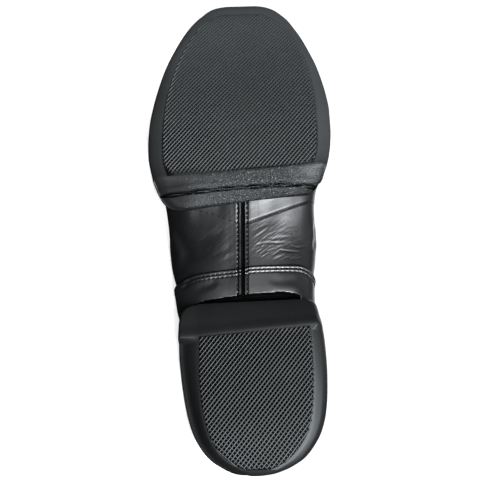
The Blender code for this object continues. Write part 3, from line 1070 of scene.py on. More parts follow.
@dataclass
class Upper:
    """Hollow leather upper with its seams, creases, folded topline and lining."""

    form: ShoeForm
    wall: float = 1.4
    floor_extra: float = 0.45
    seam: SeamLine = field(default_factory=SeamLine)
    laps: tuple[LapSeam, ...] = (
        LapSeam(
            ((113.4, -1), (116.1, 7.2), (119.9, 18.5), (124.4, 31)),
            (
                (-6, 0), (-2.4, 0.22), (-1.2, 0.26), (-0.6, 0.14), (-0.3, -0.05), (0, -0.3), (0.2, -0.32),
                (0.4, -0.1), (0.55, 0), (3, 0),
            ),
            # Painted shadow: a thin dark line along the lapped edge.
            ((-0.2, 0), (-0.02, 1), (0.16, 1), (0.34, 0)),
        ),
        LapSeam(
            ((113.4, -3.6), (116.1, -10.4), (118.7, -17.1), (121.6, -29.8)),
            ((-2, 0), (-0.6, -0.03), (0, -0.06), (0.6, 0.03), (1.5, 0.06), (4, 0)),
            ((-1, 0), (1, 0)),
        ),
    )
    creases: tuple[Crease, ...] = drawn({
        Plane.FLOOR: (
            (((123, 5), (125, 31)), 6.5, 0.4),
            (((121, -30), (122, -8)), 6.5, 0.5),
            (((103, -26), (105, 0), (105, 28)), 7, -0.5),
            (((106.6, 3.2), (109.1, 7), (111, 10)), 0.45, 0.06, 0.02),
            (((105.6, 8), (106.6, 14.7), (107.8, 22)), 0.55, 0.08, 0.03),
            (((102, 0.8), (103.5, 5.3), (104.4, 9.2), (104.1, 14.1), (104.6, 20.5)), 0.5, 0.11, 0.04),
            (((99, 3.2), (101, 7.2)), 0.42, 0.09, 0.03),
            (((99.5, 8.4), (101.8, 13.6)), 0.42, 0.09, 0.03),
            (((96.6, 9.8), (98.7, 12.9), (100.6, 15.8), (100.2, 19.9), (100, 26)), 0.45, 0.14, 0.05),
            (((95.2, 11.4), (97, 14.6), (98.4, 18)), 0.4, 0.09, 0.03),
            (((109.5, 1.6), (112, 6.8), (113.6, 12.5)), 0.5, 0.05, 0.02),
            (((108.2, 12.6), (110.8, 17.8), (113.5, 23)), 0.6, 0.06, 0.02),
            (((103, 20), (102.2, 25), (103.4, 29.5)), 0.5, 0.08, 0.03),
            (((97.2, 3), (97.4, 8)), 0.5, 0.05, 0.02),
            (((96.2, 20), (97.4, 27)), 0.5, 0.06, 0.02),
            (((105, -6), (101, -11), (98.5, -18)), 1.6, 0.1, 0.04),
            (((99, -5.5), (96.5, -11), (95.6, -16)), 1.2, 0.07, 0.03),
            (((112, -10), (108, -17), (106, -25)), 1.8, 0.12, 0.04),
        ),
        Plane.LATERAL: (
            (((115, 21.8), (108, 20.2), (100, 18.9), (93, 18.4)), 1.5, -0.5),
            (((116, 18), (108, 16.8), (100, 16.2), (94, 15.8)), 1.5, 0.7),
            (((118, 26), (110, 26.5), (102, 24.2)), 1.6, 0.5),
            (((150, 26), (146, 36), (147, 46)), 2.4, 0.7),
            (((160, 24), (157.5, 32), (158.5, 40)), 2.2, 0.6),
            (((108, 40), (100, 48), (96, 55)), 2.6, 0.5),
        ),
        Plane.MEDIAL: (
            (((118, 22), (109, 24), (101, 22)), 1.6, 0.6, 0.3),
            (((122, 30), (112, 34), (104, 34)), 2, 0.6, 0.35),
            (((126, 40), (116, 46), (106, 48)), 2.4, 0.6, 0.35),
            (((150, 24), (146, 33), (147, 44)), 2.4, 0.8, 0.4),
            (((161, 23), (158, 31), (159, 39)), 2.2, 0.7, 0.35),
        ),
        Plane.TOP: (
            (((149, -30), (145, -10), (146, 10), (150, 30)), 2.6, 0.7, 0.4),
            (((160, -32), (156, -12), (157, 8), (161, 30)), 2.3, 0.8, 0.45),
            (((170, -28), (167, -8), (168, 10), (171, 26)), 2, 0.55, 0.3),
            (((137, -22), (134, -4), (136, 16)), 2.6, 0.45, 0.25),
        ),
    })
    band: float = 4.6
    band_rise: float = 0.45
    band_step: float = 0.7
    band_fade: Span = (10.0, 1.0)
    line_depth: float = 0.25
    line_below: float = 0.2
    rim_points: int = 5
    rim_past: float = 0.5
    floor_open: Table = ((14, 60), (146, 220))
    open_share: float = 0.7
    low_share: float = 0.9
    wave_rows: Table = (
        (0.19, 0.11, 0.4, 0.12), (-0.12, 0.23, 1.7, 0.1), (0.31, -0.17, 2.9, 0.05),
        (0.07, 0.41, 0.8, 0.04),
    )
    wave_sink: float = 0.2
    calm_side: Span = (30.0, 37.0)
    calm_share: float = 0.6
    recess_start: Span = (67.0, 72.0)
    recess_share: float = 0.4
    recess_ends: Span = (18.0, 26.0)
    recess_edge: Table = (
        (-31, 73), (-27, 74.6), (-21, 76.4), (-5, 78.5), (5, 79.3), (16, 79.8), (21, 79.3), (25, 77.6),
        (28, 75.2), (31, 73),
    )
    recess_depth: float = 1.05
    # Painted shade reaches past the hollow's front and past its ends by these distances.
    shade_ahead: float = 0.4
    shade_wider: float = 4.0
    fine_columns: Table = ((0, 0.085, 0.0022), (0.085, 0.4, 0.0037))
    side_columns: int = 42
    row_spans: Table = ((1, 74, 1.9), (74, 92, 1), (92, 126, 0.36), (126, 238.6, 1.9))
    inner_every: int = 6
    floor_from: Span = (60.0, 72.0)
    floor_share: Span = (0.3, 0.5)
    fold_x: tuple[Span, Span] = ((93, 99), (108, 118))
    fold_y: tuple[Span, Span] = ((0, 5), (22, 31))
    fold_top: float = 30.0
    fold_side: Span = (4.0, 9.0)
    fold_lateral: float = 0.3
    fold_least: float = 0.06

    def relief(self, points: Array, share: Array) -> Array:
        """Rise of the leather over the form.

        Args:
            points: Points of the form.
            share: Signed shares of the girth there.

        Returns:
            Heights over the form.
        """
        hollow = self.recess(points, share)
        result = self.seam.relief(points, share) * (1.0 - hollow) - self.recess_depth * hollow
        for detail in self.laps + self.creases:
            result = result + detail.relief(points, share)
        calm = ramp(-points[:, 1], *self.calm_side)
        waves = ripples(self.wave_rows, points[:, 0], points[:, 1] + points[:, 2])
        return result + (waves - self.wave_sink) * (1.0 - self.calm_share * calm) - self.wave_sink * calm

    def recess(self, points: Array, share: Array, ahead: float = 0.0, step: float = 0.8,
               wider: float = 0.0) -> Array:
        """Hollow in front of the heel, where the leather tucks under it.

        Args:
            points: Points of the form.
            share: Signed shares of the girth there.
            ahead: Distance by which to move its front side.
            step: Width of its front side.
            wider: Distance by which to move its two ends.

        Returns:
            One inside the hollow.
        """
        edge = np.interp(points[:, 1], *np.array(self.recess_edge).T) + ahead
        inside = ramp(points[:, 0], *self.recess_start) * (np.abs(share) < self.recess_share)
        ends = 1.0 - ramp(np.abs(points[:, 1]) - wider, *self.recess_ends)
        return inside * (1.0 - ramp(points[:, 0] - edge, -step, 0.0)) * ends

    def painted_shade_marks(self, points: Array, share: Array) -> Array:
        """Painted shade in the seams' gaps and in the hollow."""
        hollow = self.recess(points, share, self.shade_ahead, wider=self.shade_wider)
        return np.max([hollow, *(detail.painted_shade_marks(points, share) for detail in (self.seam, *self.laps))], axis=0)

    def shares(self) -> Array:
        """Columns round the girth, closest at the centre seam."""
        return mirrored(half_columns(self.fine_columns, 1.0, self.side_columns))

    def rows(self) -> Array:
        """Rows along the shoe, closest in the arch."""
        parts = [self.form.spread(*span) for span in self.row_spans]
        return np.concatenate([*parts, [float(self.form.last)]])

    def surface(self, position: Array, share: Array) -> Array:
        """Points of the leather's outer face.

        Args:
            position: Section numbers.
            share: Signed shares of the girth.

        Returns:
            Points, one for each pair.
        """
        points, normals = self.form.sample(position, share)
        rise = self.relief(points.reshape(-1, 3), share.ravel()).reshape(share.shape)
        return points + normals * rise[..., None]

    def build(self, pose: Array, leather: Material, lining: Material,
              painted_shade_finish: Material) -> Piece:
        """Make the upper.

        Args:
            pose: Move from the shoe to the row.
            leather: Outer material.
            lining: Inner material.
            painted_shade_finish: Material of the painted shade inside the gaps.

        Returns:
            The upper's object.
        """
        position, share = np.meshgrid(self.rows(), self.shares(), indexing="ij")
        base, normals = self.form.sample(position, share)
        outer = self.surface(position, share)
        edge = (1.0 - np.abs(share)) * self.form.length(position, share)
        ahead, past = self.band_fade
        opened = 1.0 - ramp(base[..., 0], self.form.throat_x - ahead, self.form.throat_x - past)
        band = self.band_rise * (1.0 - ramp(edge, self.band - self.band_step, self.band))
        band = band - self.line_depth * bell(edge, self.band + self.line_below, self.band_step)
        outer = outer + normals * (band * opened)[..., None]
        floor = ramp(base[..., 0], *self.floor_from) * (1.0 - ramp(np.abs(share), *self.floor_share))
        inner = base - normals * (self.wall + self.floor_extra * floor)[..., None]
        builder = MeshBuilder("upper_leather")
        # Faces inside the gaps, stitch holes and the hollow take the painted-shade material.
        painted_shade_marks = self.painted_shade_marks(base.reshape(-1, 3), share.ravel()).reshape(share.shape)
        builder.grid(outer, 2 * shade_painted_quads(painted_shade_marks), self._kept(base), grain=self._folds(base))
        coarse = np.unique([*range(0, share.shape[1], self.inner_every), share.shape[1] - 1])
        builder.grid(inner[:, coarse], slot=1, flip=True)
        for column, flip in ((0, True), (-1, False)):
            self._rim(builder, outer[:, column], inner[:, column], base[:, column, 0], flip)
        return builder.build(pose, [leather, lining, painted_shade_finish])

    def _folds(self, base: Array) -> Array:
        """Amount of fine drawn wrinkles on the arch.

        Args:
            base: Points of the form by row and column.

        Returns:
            Amounts by row and column.
        """
        x, y = base[..., 0], base[..., 1]
        arch = plateau(x, *self.fold_x) * (base[..., 2] < self.fold_top)
        lateral = self.fold_lateral * ramp(-y, *self.fold_side)
        return arch * np.maximum(plateau(y, *self.fold_y), lateral) + self.fold_least

    def _kept(self, base: Array) -> Array:
        """Quads of the outer face that the soles leave in view.

        Args:
            base: Points of the form by row and column.

        Returns:
            One mark for each quad.
        """
        x, y = base[:-1, :-1, 0], base[:-1, :-1, 1]
        width = np.interp(x, self.form.station_x, np.minimum(self.form.rows[:, 1], self.form.rows[:, 2]))
        under = np.zeros(x.shape, dtype=bool)
        for start, end in self.floor_open:
            under |= (x > start) & (x < end)
        low = base[:-1, :-1, 2] < self.low_share * np.interp(x, self.form.station_x, self.form.rows[:, 4])
        return ~(under & low & (np.abs(y) < self.open_share * width))

    def _rim(self, builder: MeshBuilder, outer: Array, inner: Array, x: Array, flip: bool) -> None:
        """Rounded edge of the topline.

        Args:
            builder: Mesh to add to.
            outer: Outer edge points.
            inner: Inner edge points.
            x: Places of the edge along the shoe.
            flip: Whether to turn the faces over.
        """
        rows = np.flatnonzero(x <= self.form.throat_x + self.rim_past)
        start, end = outer[rows], inner[rows]
        along = np.gradient(start, axis=0)
        rise = unit(np.cross(end - start, along)) * (1.0 if flip else -1.0)
        rise = np.where(rise[:, 2:] < 0.0, -rise, rise)
        middle, half = 0.5 * (start + end), 0.5 * (start - end)
        radius = np.linalg.norm(half, axis=1, keepdims=True)
        turns = np.linspace(0.0, math.pi, self.rim_points)
        arcs = [middle + half * math.cos(turn) + rise * radius * math.sin(turn) for turn in turns]
        builder.grid(np.stack(arcs, axis=1), flip=flip)


@dataclass
class HeelPanel:
    """Leather panel round the heel that laps over the arch with two stitched rows."""

    form: ShoeForm
    upper: Upper
    rise: float = 1.2
    edge_radius: float = 0.9
    edge: Table = (
        (-110, 66), (-80, 73), (-55, 80), (-40, 84.4), (-30, 87.9), (-22, 89.9), (-10, 91.2), (0, 92.1),
        (3, 92.9), (14, 93.3), (25, 93.5), (30, 92.4), (36, 89), (46, 85), (60, 80), (85, 72.5), (110, 66),
    )
    edge_steps: tuple[float, ...] = (
        0.0, 0.08, 0.2, 0.4, 0.65, 0.9, 1.2, 1.5, 1.8, 2.1, 2.4, 2.7, 3.0, 3.3, 3.6, 3.9, 4.3, 4.8,
    )
    even_step: float = 0.7
    girth_x: float = 88.0
    stitch_rows: Span = (2.1, 3.8)
    ridge_rows: Span = (1.1, 2.95)
    ridge: float = 0.14
    ridge_width: float = 0.5
    trough: float = 0.1
    trough_width: float = 0.36
    pitch: float = 2.2
    dip: float = 0.14
    # Painted shadow along the cut front edge; painted shade in the stitch holes.
    edge_shade: float = 0.45
    edge_fade: float = 0.25
    hole_shade: float = 0.9
    shade_ahead: float = 0.5
    sink: float = 0.1
    wave_rows: Table = ((0.21, 0.17, 0.6, 0.08), (0.37, -0.29, 0, 0.06))
    creases: tuple[Crease, ...] = drawn({
        Plane.LATERAL: (
            (((83.5, 18.6), (87, 17.4), (90.5, 16.4)), 0.8, 0.6),
            (((82, 16.4), (85.5, 15.6), (88.5, 14.8)), 0.7, 0.5),
            (((88, 21), (78, 20), (68, 18)), 4.2, -0.8),
        ),
        Plane.FLOOR: (
            (((86, -14), (83.5, -20), (82.5, -26)), 1.6, 0.25, 0.1),
            (((85.5, 8), (84.5, 16), (86, 24)), 2, 0.22, 0.1),
        ),
        Plane.MEDIAL: (
            (((70, 30), (60, 34), (50, 34)), 2.4, 0.4, 0.2),
            (((66, 42), (56, 44), (46, 42)), 2.4, 0.4, 0.2),
        ),
    })
    tuck_depth: float = 1.7
    under_depth: float = 1.1
    bend: float = 0.8
    bend_width: float = 7.0
    under_x: Span = (54.0, 62.0)
    under_z: Span = (8.5, 13.0)
    fine_rows: Triple = (11.0, 18.5, 0.3)
    back_rows: int = 58
    fine_columns: Table = ((0, 0.085, 0.0024), (0.085, 0.4, 0.0042))
    side_columns: int = 50
    side_to: float = 0.99
    last_columns: tuple[float, ...] = (0.993, 0.996, 0.998, 1.0)
    top_from: float = 0.5
    passes: int = 3
    hidden_below: Triple = (70.0, 17.0, 11.0)

    def edge_x(self, share: Array) -> Array:
        """Place of the front edge at a column."""
        places, fronts = np.array(self.edge).T
        return steady_curve(places, fronts, self.girth(share))

    def girth(self, share: Array) -> Array:
        """Distance round the panel from its middle."""
        return share * self.form.length(np.full(share.shape, float(self.form.position(self.girth_x))), share)

    def relief(self, points: Array, share: Array, back: Array) -> Array:
        """Rise of the panel over its own even face.

        Args:
            points: Points of the form.
            share: Signed shares of the girth there.
            back: Distance behind the front edge.

        Returns:
            Heights over the panel's face.
        """
        hollow = self.upper.recess(points, share)
        result = self.upper.seam.relief(points, share) * (1.0 - hollow)
        for crease in self.creases:
            result = result + crease.relief(points, share)
        for row in self.stitch_rows:
            result = result - self.trough * bell(back, row, self.trough_width)
        for row in self.ridge_rows:
            result = result + self.ridge * bell(back, row, self.ridge_width)
        waves = ripples(self.wave_rows, points[:, 0], points[:, 1])
        bend = self.bend * self.upper.recess(points, share, 0.5 * self.bend_width, self.bend_width)
        under = (1.0 - ramp(points[:, 2], *self.under_z)) * (1.0 - ramp(points[:, 0], *self.under_x))
        result = result + waves - self.sink - self.dip * self._stitched(back, share) - bend
        return result - self.tuck_depth * hollow - self.under_depth * under

    def _stitched(self, back: Array, share: Array) -> Array:
        """One at each stitch of the two rows behind the front edge, zero elsewhere."""
        rows = [bell(back, row, self.trough_width) for row in self.stitch_rows]
        return dashes(self.girth(share), self.pitch) * np.maximum(*rows)

    def painted_shade_marks(self, points: Array, share: Array, back: Array) -> Array:
        """Painted shade at the cut edge, in the stitch holes, in the seam and in the hollow.

        Args:
            points: Points of the form.
            share: Signed shares of the girth there.
            back: Distance behind the front edge.

        Returns:
            One where shade is painted on the panel.
        """
        edge = 1.0 - ramp(back, self.edge_shade, self.edge_shade + self.edge_fade)
        holes = self.hole_shade * self._stitched(back, share)
        hollow = self.upper.recess(points, share, self.shade_ahead, wider=self.upper.shade_wider)
        return np.max([edge, holes, self.upper.seam.painted_shade_marks(points, share), hollow], axis=0)

    def surface(self, back: Array, share: Array) -> Array:
        """Points of the panel by distance behind its front edge.

        Args:
            back: Distances behind the front edge, along the outline.
            share: Signed shares of the girth.

        Returns:
            Points, one for each pair.
        """
        front_run = np.interp(self.edge_x(share), self.form.station_x, self.form.run)
        position = np.interp(front_run - back, self.form.run, self.form.stations)
        points, normals = self.form.sample(position, share)
        rise = self.relief(points.reshape(-1, 3), share.ravel(), back.ravel()).reshape(share.shape)
        side = np.clip(back / self.edge_radius, 0.0, 1.0)
        lift = np.sqrt(np.clip(1.0 - (1.0 - side) ** 2, 0.0, 1.0))
        return points + normals * ((self.rise + rise) * lift)[..., None]

    def build(self, pose: Array, leather: Material, painted_shade_finish: Material) -> Piece:
        """Make the panel.

        Args:
            pose: Move from the shoe to the row.
            leather: Outer material.
            painted_shade_finish: Material of the painted shade inside the gaps.

        Returns:
            The panel's object.
        """
        half = half_columns(self.fine_columns, self.side_to, self.side_columns)
        columns = mirrored(np.concatenate([half, self.last_columns]))
        length = float(np.interp(self.edge_x(np.array([0.0]))[0], self.form.station_x, self.form.run))
        first, last, step = self.fine_rows
        near = self.edge_steps[-1]
        steps = np.concatenate([self.edge_steps, np.arange(near + self.even_step, first, self.even_step),
                                np.arange(first, last, step), np.linspace(last, length, self.back_rows)])
        steps, shares = np.meshgrid(steps, columns, indexing="ij")
        shares_in = shares
        for _ in range(self.passes):
            fronts = np.interp(self.edge_x(shares_in), self.form.station_x, self.form.run)
            backs = np.where(steps <= near, steps, near + (steps - near) * (fronts - near) / (length - near))
            position = np.interp(fronts - backs, self.form.run, self.form.stations)
            top = self.form.by_side(self.form.panel_top, position, shares)
            shares_in = shares * (1.0 - (1.0 - top) * ramp(np.abs(shares), self.top_from, 1.0))
        outer = self.surface(backs, shares_in)
        base, _ = self.form.sample(position, shares_in)
        edge = (top - np.abs(shares_in)) * self.form.length(position, shares_in)
        side = np.clip(edge / self.edge_radius, 0.0, 1.0)
        outer = base + (outer - base) * np.sqrt(1.0 - (1.0 - side) ** 2)[..., None]
        hidden = np.all(np.abs(base) < self.hidden_below, axis=-1)
        builder = MeshBuilder("heel_panel_leather")
        # Faces at the cut edge, in the stitch holes, the seam and the hollow take the painted-shade material.
        painted_shade_marks = self.painted_shade_marks(base.reshape(-1, 3), shares_in.ravel(), backs.ravel()).reshape(backs.shape)
        builder.grid(outer, shade_painted_quads(painted_shade_marks), ~hidden[:-1, :-1], flip=True)
        return builder.build(pose, [leather, painted_shade_finish])


@dataclass
class TreadLattice:
    """Crossed diagonal ridges that stand in a tread's shallow bed."""

    pitch: float = 1.5
    turn: float = 5.0
    height: float = 0.9
    # Columns: place across the ridge, rise, and share of the crest, which takes the lighter crest tone of
    # wear mixed with painted highlight.
    profile: Table = (
        (-0.46, 0, 0), (-0.27, 0.45, 0), (-0.14, 0.88, 0.28), (0, 1, 1), (0.14, 0.88, 0.28),
        (0.27, 0.45, 0), (0.46, 0, 0),
    )
    segment: float = 3.0
    second_share: float = 0.44
    end_slope: float = 1.4
    end_share: float = 0.3
    worn_from: float = 160.0
    worn_to: float = 225.0
    worn_share: float = 0.4

    def ridges(self, outline: Array, lift: "SoleLift") -> list[tuple[Array, Faces, Array, bool]]:
        """Ridges of both families cut to an outline.

        Args:
            outline: Closed outline in x and y.
            lift: Height of the tread plane along the shoe.

        Returns:
            Points, faces, crest share and family of each ridge, with the faces numbered from zero.
        """
        turned = math.radians(self.turn)
        along = np.array([math.cos(turned), -math.sin(turned)])
        across = np.array([math.sin(turned), math.cos(turned)])
        results = []
        for sign, height in ((1.0, self.height), (-1.0, self.height * self.second_share)):
            direction = (along + sign * across) / math.sqrt(2.0)
            normal = np.array([-direction[1], direction[0]])
            offsets = outline @ normal
            first = math.ceil(offsets.min() / self.pitch)
            last = math.floor(offsets.max() / self.pitch)
            for number in range(first, last + 1):
                for start, end in self._cuts(outline, direction, normal, number * self.pitch):
                    ridge = self._ridge(direction, normal, number * self.pitch, start, end, height, lift)
                    results.append((*ridge, sign > 0.0))
        return results

    def _cuts(self, outline: Array, direction: Array, normal: Array, offset: float) -> list[Span]:
        """Stretches of a line that lie inside the outline.

        Args:
            outline: Closed outline in x and y.
            direction: The line's direction.
            normal: The line's normal.
            offset: The line's distance from the origin.

        Returns:
            Start and end of each stretch along the direction.
        """
        ahead = np.roll(outline, -1, axis=0)
        here, there = outline @ normal - offset, ahead @ normal - offset
        crossed = (here < 0.0) != (there < 0.0)
        part = here[crossed] / (here[crossed] - there[crossed])
        hits = np.sort((outline[crossed] + (ahead[crossed] - outline[crossed]) * part[:, None]) @ direction)
        pairs = zip(hits[0::2], hits[1::2])
        return [(start, end) for start, end in pairs if end - start > self.pitch]

    def _ridge(self, direction: Array, normal: Array, offset: float, start: float, end: float, height: float,
               lift: "SoleLift") -> tuple[Array, Faces, Array]:
        """One ridge with a rounded back and sloping ends.

        Args:
            direction: The ridge's direction.
            normal: The ridge's normal.
            offset: Distance of the ridge from the origin.
            start: Start along the direction.
            end: End along the direction.
            height: Height of the ridge.
            lift: Height of the tread plane along the shoe.

        Returns:
            Points, faces numbered from zero, and the share of the crest at each point.
        """
        count = max(int((end - start) / self.segment), 1)
        slope = min(self.end_slope, self.end_share * (end - start))
        stations = np.concatenate([[start], np.linspace(start + slope, end - slope, count + 1), [end]])
        heights = np.concatenate([[0.0], np.full(count + 1, height), [0.0]])
        places, rises, crests = np.array(self.profile).T
        plan = stations[:, None, None] * direction + (offset + places)[None, :, None] * normal
        worn = 1.0 - self.worn_share * ramp(plan[..., 0], self.worn_from, self.worn_to)
        z = lift.height(plan[..., 0], plan[..., 1]) + self.height - rises * heights[:, None] * worn
        points = np.concatenate([plan, z[..., None]], axis=-1)
        width = len(places)
        starts = [row * width + column for row in range(len(stations) - 1) for column in range(width - 1)]
        faces = [(first, first + 1, first + width + 1, first + width) for first in starts]
        return points.reshape(-1, 3), faces, np.outer(heights / height, crests).ravel()


@dataclass(frozen=True)
class SoleLift:
    """Toe spring of the sole."""

    spring: float = 12.0
    start_x: float = 165.0
    toe_x: float = 240.0
    dome_x: float = 15.0
    dome_rise: float = 1.1
    dome_lateral: float = 24.0
    dome_medial: float = 28.0
    dome_side: float = 0.7
    dome_power: int = 5
    heel_to: float = 100.0

    def height(self, x: Array | float, y: Array | float = 0.0) -> Array:
        """Height of the tread plane, domed a little at the edge of the heel.

        Args:
            x: Places along the shoe.
            y: Places across the shoe.

        Returns:
            The plane's height.
        """
        x, y = np.asarray(x, dtype=float), np.asarray(y, dtype=float)
        reach = np.maximum(x - self.start_x, 0.0) / (self.toe_x - self.start_x)
        back = np.clip(1.0 - x / self.dome_x, 0.0, 1.0) ** 2
        half = np.where(y < 0.0, self.dome_lateral, self.dome_medial)
        side = np.clip(np.abs(y) / half, 0.0, 1.0) ** self.dome_power * (x < self.heel_to)
        return self.spring * reach**2 + self.dome_rise * back + self.dome_side * side


@dataclass
class SoleSizes:
    """Sizes of one moulded sole: a row per section and the side wall's profile."""

    name: str
    rows: Table
    wall: Table
    wall_medial: Table
    stations: Table
    slant: float
    slant_from: float
    slant_to: float
    slant_grows: bool
    tread_from: float
    tread_to: float
    tread_turn: float
    corner: float
    rim_roll: float
    roll_medial: float
    roll_power: float
    roll_fade: Span
    front_slant: float
    rear_slant: float
    grain_rows: Table
    smooth_from: float
    shade_wear_glint_rows: Table
    rim_wear_sheen_rows: Table


@dataclass
class MouldedSole:
    """Rubber sole with rim, side wall and a tread of crossed ridges."""

    form: ShoeForm
    sizes: SoleSizes
    lattice: TreadLattice = field(default_factory=TreadLattice)
    lift: SoleLift = field(default_factory=SoleLift)
    step: float = 0.5
    seat: float = 0.7
    bed_columns: int = 12
    rim_columns: int = 12
    wall_columns: int = 16
    rolled_columns: int = 5
    # Mean painted-shade mark above which a face takes the painted-shade rubber.
    deep_shade: float = 0.93
    top_columns: int = 8
    step_shares: Triple = (0.25, 0.6, 1.0)
    fade_lateral: float = 0.8
    fade_medial: float = 0.5
    roll_share: float = 0.45
    rear_run: float = 4.2
    least_row: float = 0.04
    outline_step: float = 0.5
    outline_over: float = 0.35
    sheen_across: Span = (-12.0, 20.0)
    smooth_run: float = 10.0
    grain_least: float = 0.4
    # Grain strength across the sole; its lighter pebble tone leaves the lateral side darker, as painted light
    # from the medial side.
    grain_light_steps: Table = ((-32, 10, 0.6), (18, 33, -0.7))
    # Lower flanks of the ridges get painted shade below this crest share.
    crest_low: Span = (0.0, 0.5)

    def slant(self, x: Array) -> Array:
        """Turn of the sections at x.

        Args:
            x: Places along the shoe.

        Returns:
            Angles in radians.
        """
        share = ramp(x, self.sizes.slant_from, self.sizes.slant_to)
        if not self.sizes.slant_grows:
            start = self.sizes.rows[0][0]
            rear = self.sizes.rear_slant * (1.0 - ramp(x, start, start + self.rear_run))
            return np.radians(self.sizes.slant * (1.0 - share) + rear)
        front = ramp(x, self.sizes.tread_to, self.sizes.rows[-1][0])
        turned = self.sizes.slant + (self.sizes.front_slant - self.sizes.slant) * front
        return np.radians(turned) * share

    def columns(self, x: Array) -> Array:
        """Section sizes at x."""
        places, *columns = np.array(self.sizes.rows).T
        return np.column_stack([steady_curve(places, column, x) for column in columns])

    def stations(self) -> Array:
        """Places of the loft's rows.

        Returns:
            Rising x.
        """
        parts = [np.array([row[0] for row in self.sizes.rows])]
        parts.extend(np.arange(start, end, step) for start, end, step in self.sizes.stations)
        places = np.unique(np.round(np.concatenate(parts), 3))
        return places[np.concatenate([[True], np.diff(places) > self.least_row])]

    def half(self, x: Array, sizes: Array, side: Side) -> tuple[Array, Array]:
        """Section outline of one side, from the middle of the tread round to the middle of the top.

        Args:
            x: Places along the shoe.
            sizes: Section sizes at those places.
            side: The half to make.

        Returns:
            Outward distances and heights by row and column.
        """
        medial = side is Side.MEDIAL
        edge, tread = (sizes[:, 1], sizes[:, 3]) if medial else (sizes[:, 0], sizes[:, 2])
        rim, plane, lip = sizes[:, 4:7].T
        profile = self.sizes.wall_medial if medial else self.sizes.wall
        wall = spline_rows(profile, np.linspace(0.0, len(profile) - 1.0, self.wall_columns))
        bed = np.minimum(plane + self.lattice.height, rim)
        out = [tread * share for share in np.linspace(0.0, 1.0, self.bed_columns)]
        high = [bed] * self.bed_columns
        for share in self.step_shares:
            out.append(tread + self.step * share)
            high.append(bed + (rim - bed) * share)
        fade = ramp(x, *self.sizes.roll_fade)
        inner = tread + self.step
        kept = 1.0 - (self.fade_medial if medial else self.fade_lateral) * fade
        kept = np.minimum(kept, np.clip((edge - inner) / wall[0, 0], 0.0, 1.0))
        outer = edge - wall[0, 0] * kept
        rolled = self.sizes.roll_medial if medial else self.sizes.rim_roll
        roll = np.minimum(rolled, self.roll_share * (lip - rim)) * (1.0 - fade)
        for share in np.linspace(0.0, 1.0, self.rim_columns)[1:-1]:
            out.append(inner + (outer - inner) * share)
            high.append(rim + roll * share**self.sizes.roll_power)
        for inset, share in wall:
            out.append(edge - inset * kept)
            high.append(rim + roll + (lip - rim - roll) * share)
        for share in np.linspace(1.0, 0.0, self.top_columns)[1:]:
            y = (edge - wall[-1, 0]) * share
            out.append(y)
            seat = self.form.floor_height(x, side.value * y) + self.seat - self.lift.height(x)
            high.append(np.minimum(lip, seat))
        return np.stack(out, axis=1), np.stack(high, axis=1)

    def carve(self, x: Array, y: Array) -> Array:
        """Change of the underside's height for details across the sole."""
        return np.zeros(x.shape)

    def painted_shade_marks(self, x: Array, y: Array) -> Array:
        """Painted shade of details across the sole."""
        return np.zeros(x.shape)

    def outline(self) -> Array:
        """Closed outline of the tread with rounded rear corners.

        Returns:
            Outline points in x and y.
        """
        x = np.arange(self.sizes.tread_from, self.sizes.tread_to + 0.01, self.outline_step)
        sizes = self.columns(x)
        square = self.sizes.tread_to if self.sizes.slant_grows else self.sizes.tread_from
        near = np.clip(1.0 - np.abs(x - square) / self.sizes.corner, 0.0, 1.0)
        inset = self.sizes.corner * (1.0 - np.sqrt(1.0 - near**2))
        sides = []
        for side, column in ((Side.MEDIAL, 3), (Side.LATERAL, 2)):
            y = side.value * (sizes[:, column] + self.outline_over - inset)
            sides.append(np.column_stack([x + y * np.tan(self.slant(x)), y]))
        return np.vstack([sides[0], sides[1][::-1]])

    def _outer(self, shape: tuple[int, int], count: int) -> Array:
        """True in the columns at both ends of a grid, which lie under the sole."""
        column = np.arange(shape[1])
        return np.broadcast_to((column < count) | (column >= shape[1] - count), shape)

    def build(self, pose: Array, rubber: Material, painted_shade_finish: Material) -> Piece:
        """Make the sole.

        Args:
            pose: Move from the shoe to the row.
            rubber: Material of the sole.
            painted_shade_finish: Material of the painted shade at the bottom of the tread and in the lines.

        Returns:
            The sole's object.
        """
        x = self.stations()
        sizes = self.columns(x)
        medial_y, medial_z = self.half(x, sizes, Side.MEDIAL)
        lateral_y, lateral_z = self.half(x, sizes, Side.LATERAL)
        y = np.concatenate([medial_y, -lateral_y[:, ::-1]], axis=1)
        z = np.concatenate([medial_z, lateral_z[:, ::-1]], axis=1)
        under = self.bed_columns + len(self.step_shares) + self.rim_columns - 2
        below = self._outer(y.shape, under + self.rolled_columns)
        domed = self._outer(y.shape, under + self.wall_columns)
        places = np.broadcast_to(x[:, None], y.shape)
        z = z + np.where(below, self.carve(places, y), 0.0)
        lifted = z + np.where(domed, self.lift.height(places, y), self.lift.height(places))
        points = np.stack([places + y * np.tan(self.slant(places)), y, lifted], axis=-1)
        grain_x, grain = np.array(self.sizes.grain_rows).T
        builder = MeshBuilder(self.sizes.name)
        # Tread tones: painted shade in the bed, wear of the bed, and lighter crests as painted highlights
        # mixed with wear, stronger on the leading ridges.
        wear_x, pit, valley, first, second = np.array(self.sizes.shade_wear_glint_rows).T
        # Rim tone: wear toward the toe, with the medial rim lighter as painted sheen.
        rim_x, lateral, medial = np.array(self.sizes.rim_wear_sheen_rows).T
        medial, lateral = np.interp(places, rim_x, medial), np.interp(places, rim_x, lateral)
        wear = (lateral + (medial - lateral) * ramp(y, *self.sheen_across)) * below
        bed = self._outer(y.shape, self.bed_columns)
        bed = bed & (places >= self.sizes.tread_from) & (places <= self.sizes.tread_to)
        wear = np.where(bed, np.interp(places, wear_x, valley), wear)
        # Painted shade in the tread's bed and in the crease lines.
        dark = np.maximum(np.interp(places, wear_x, pit) * bed, self.painted_shade_marks(places, y) * below)
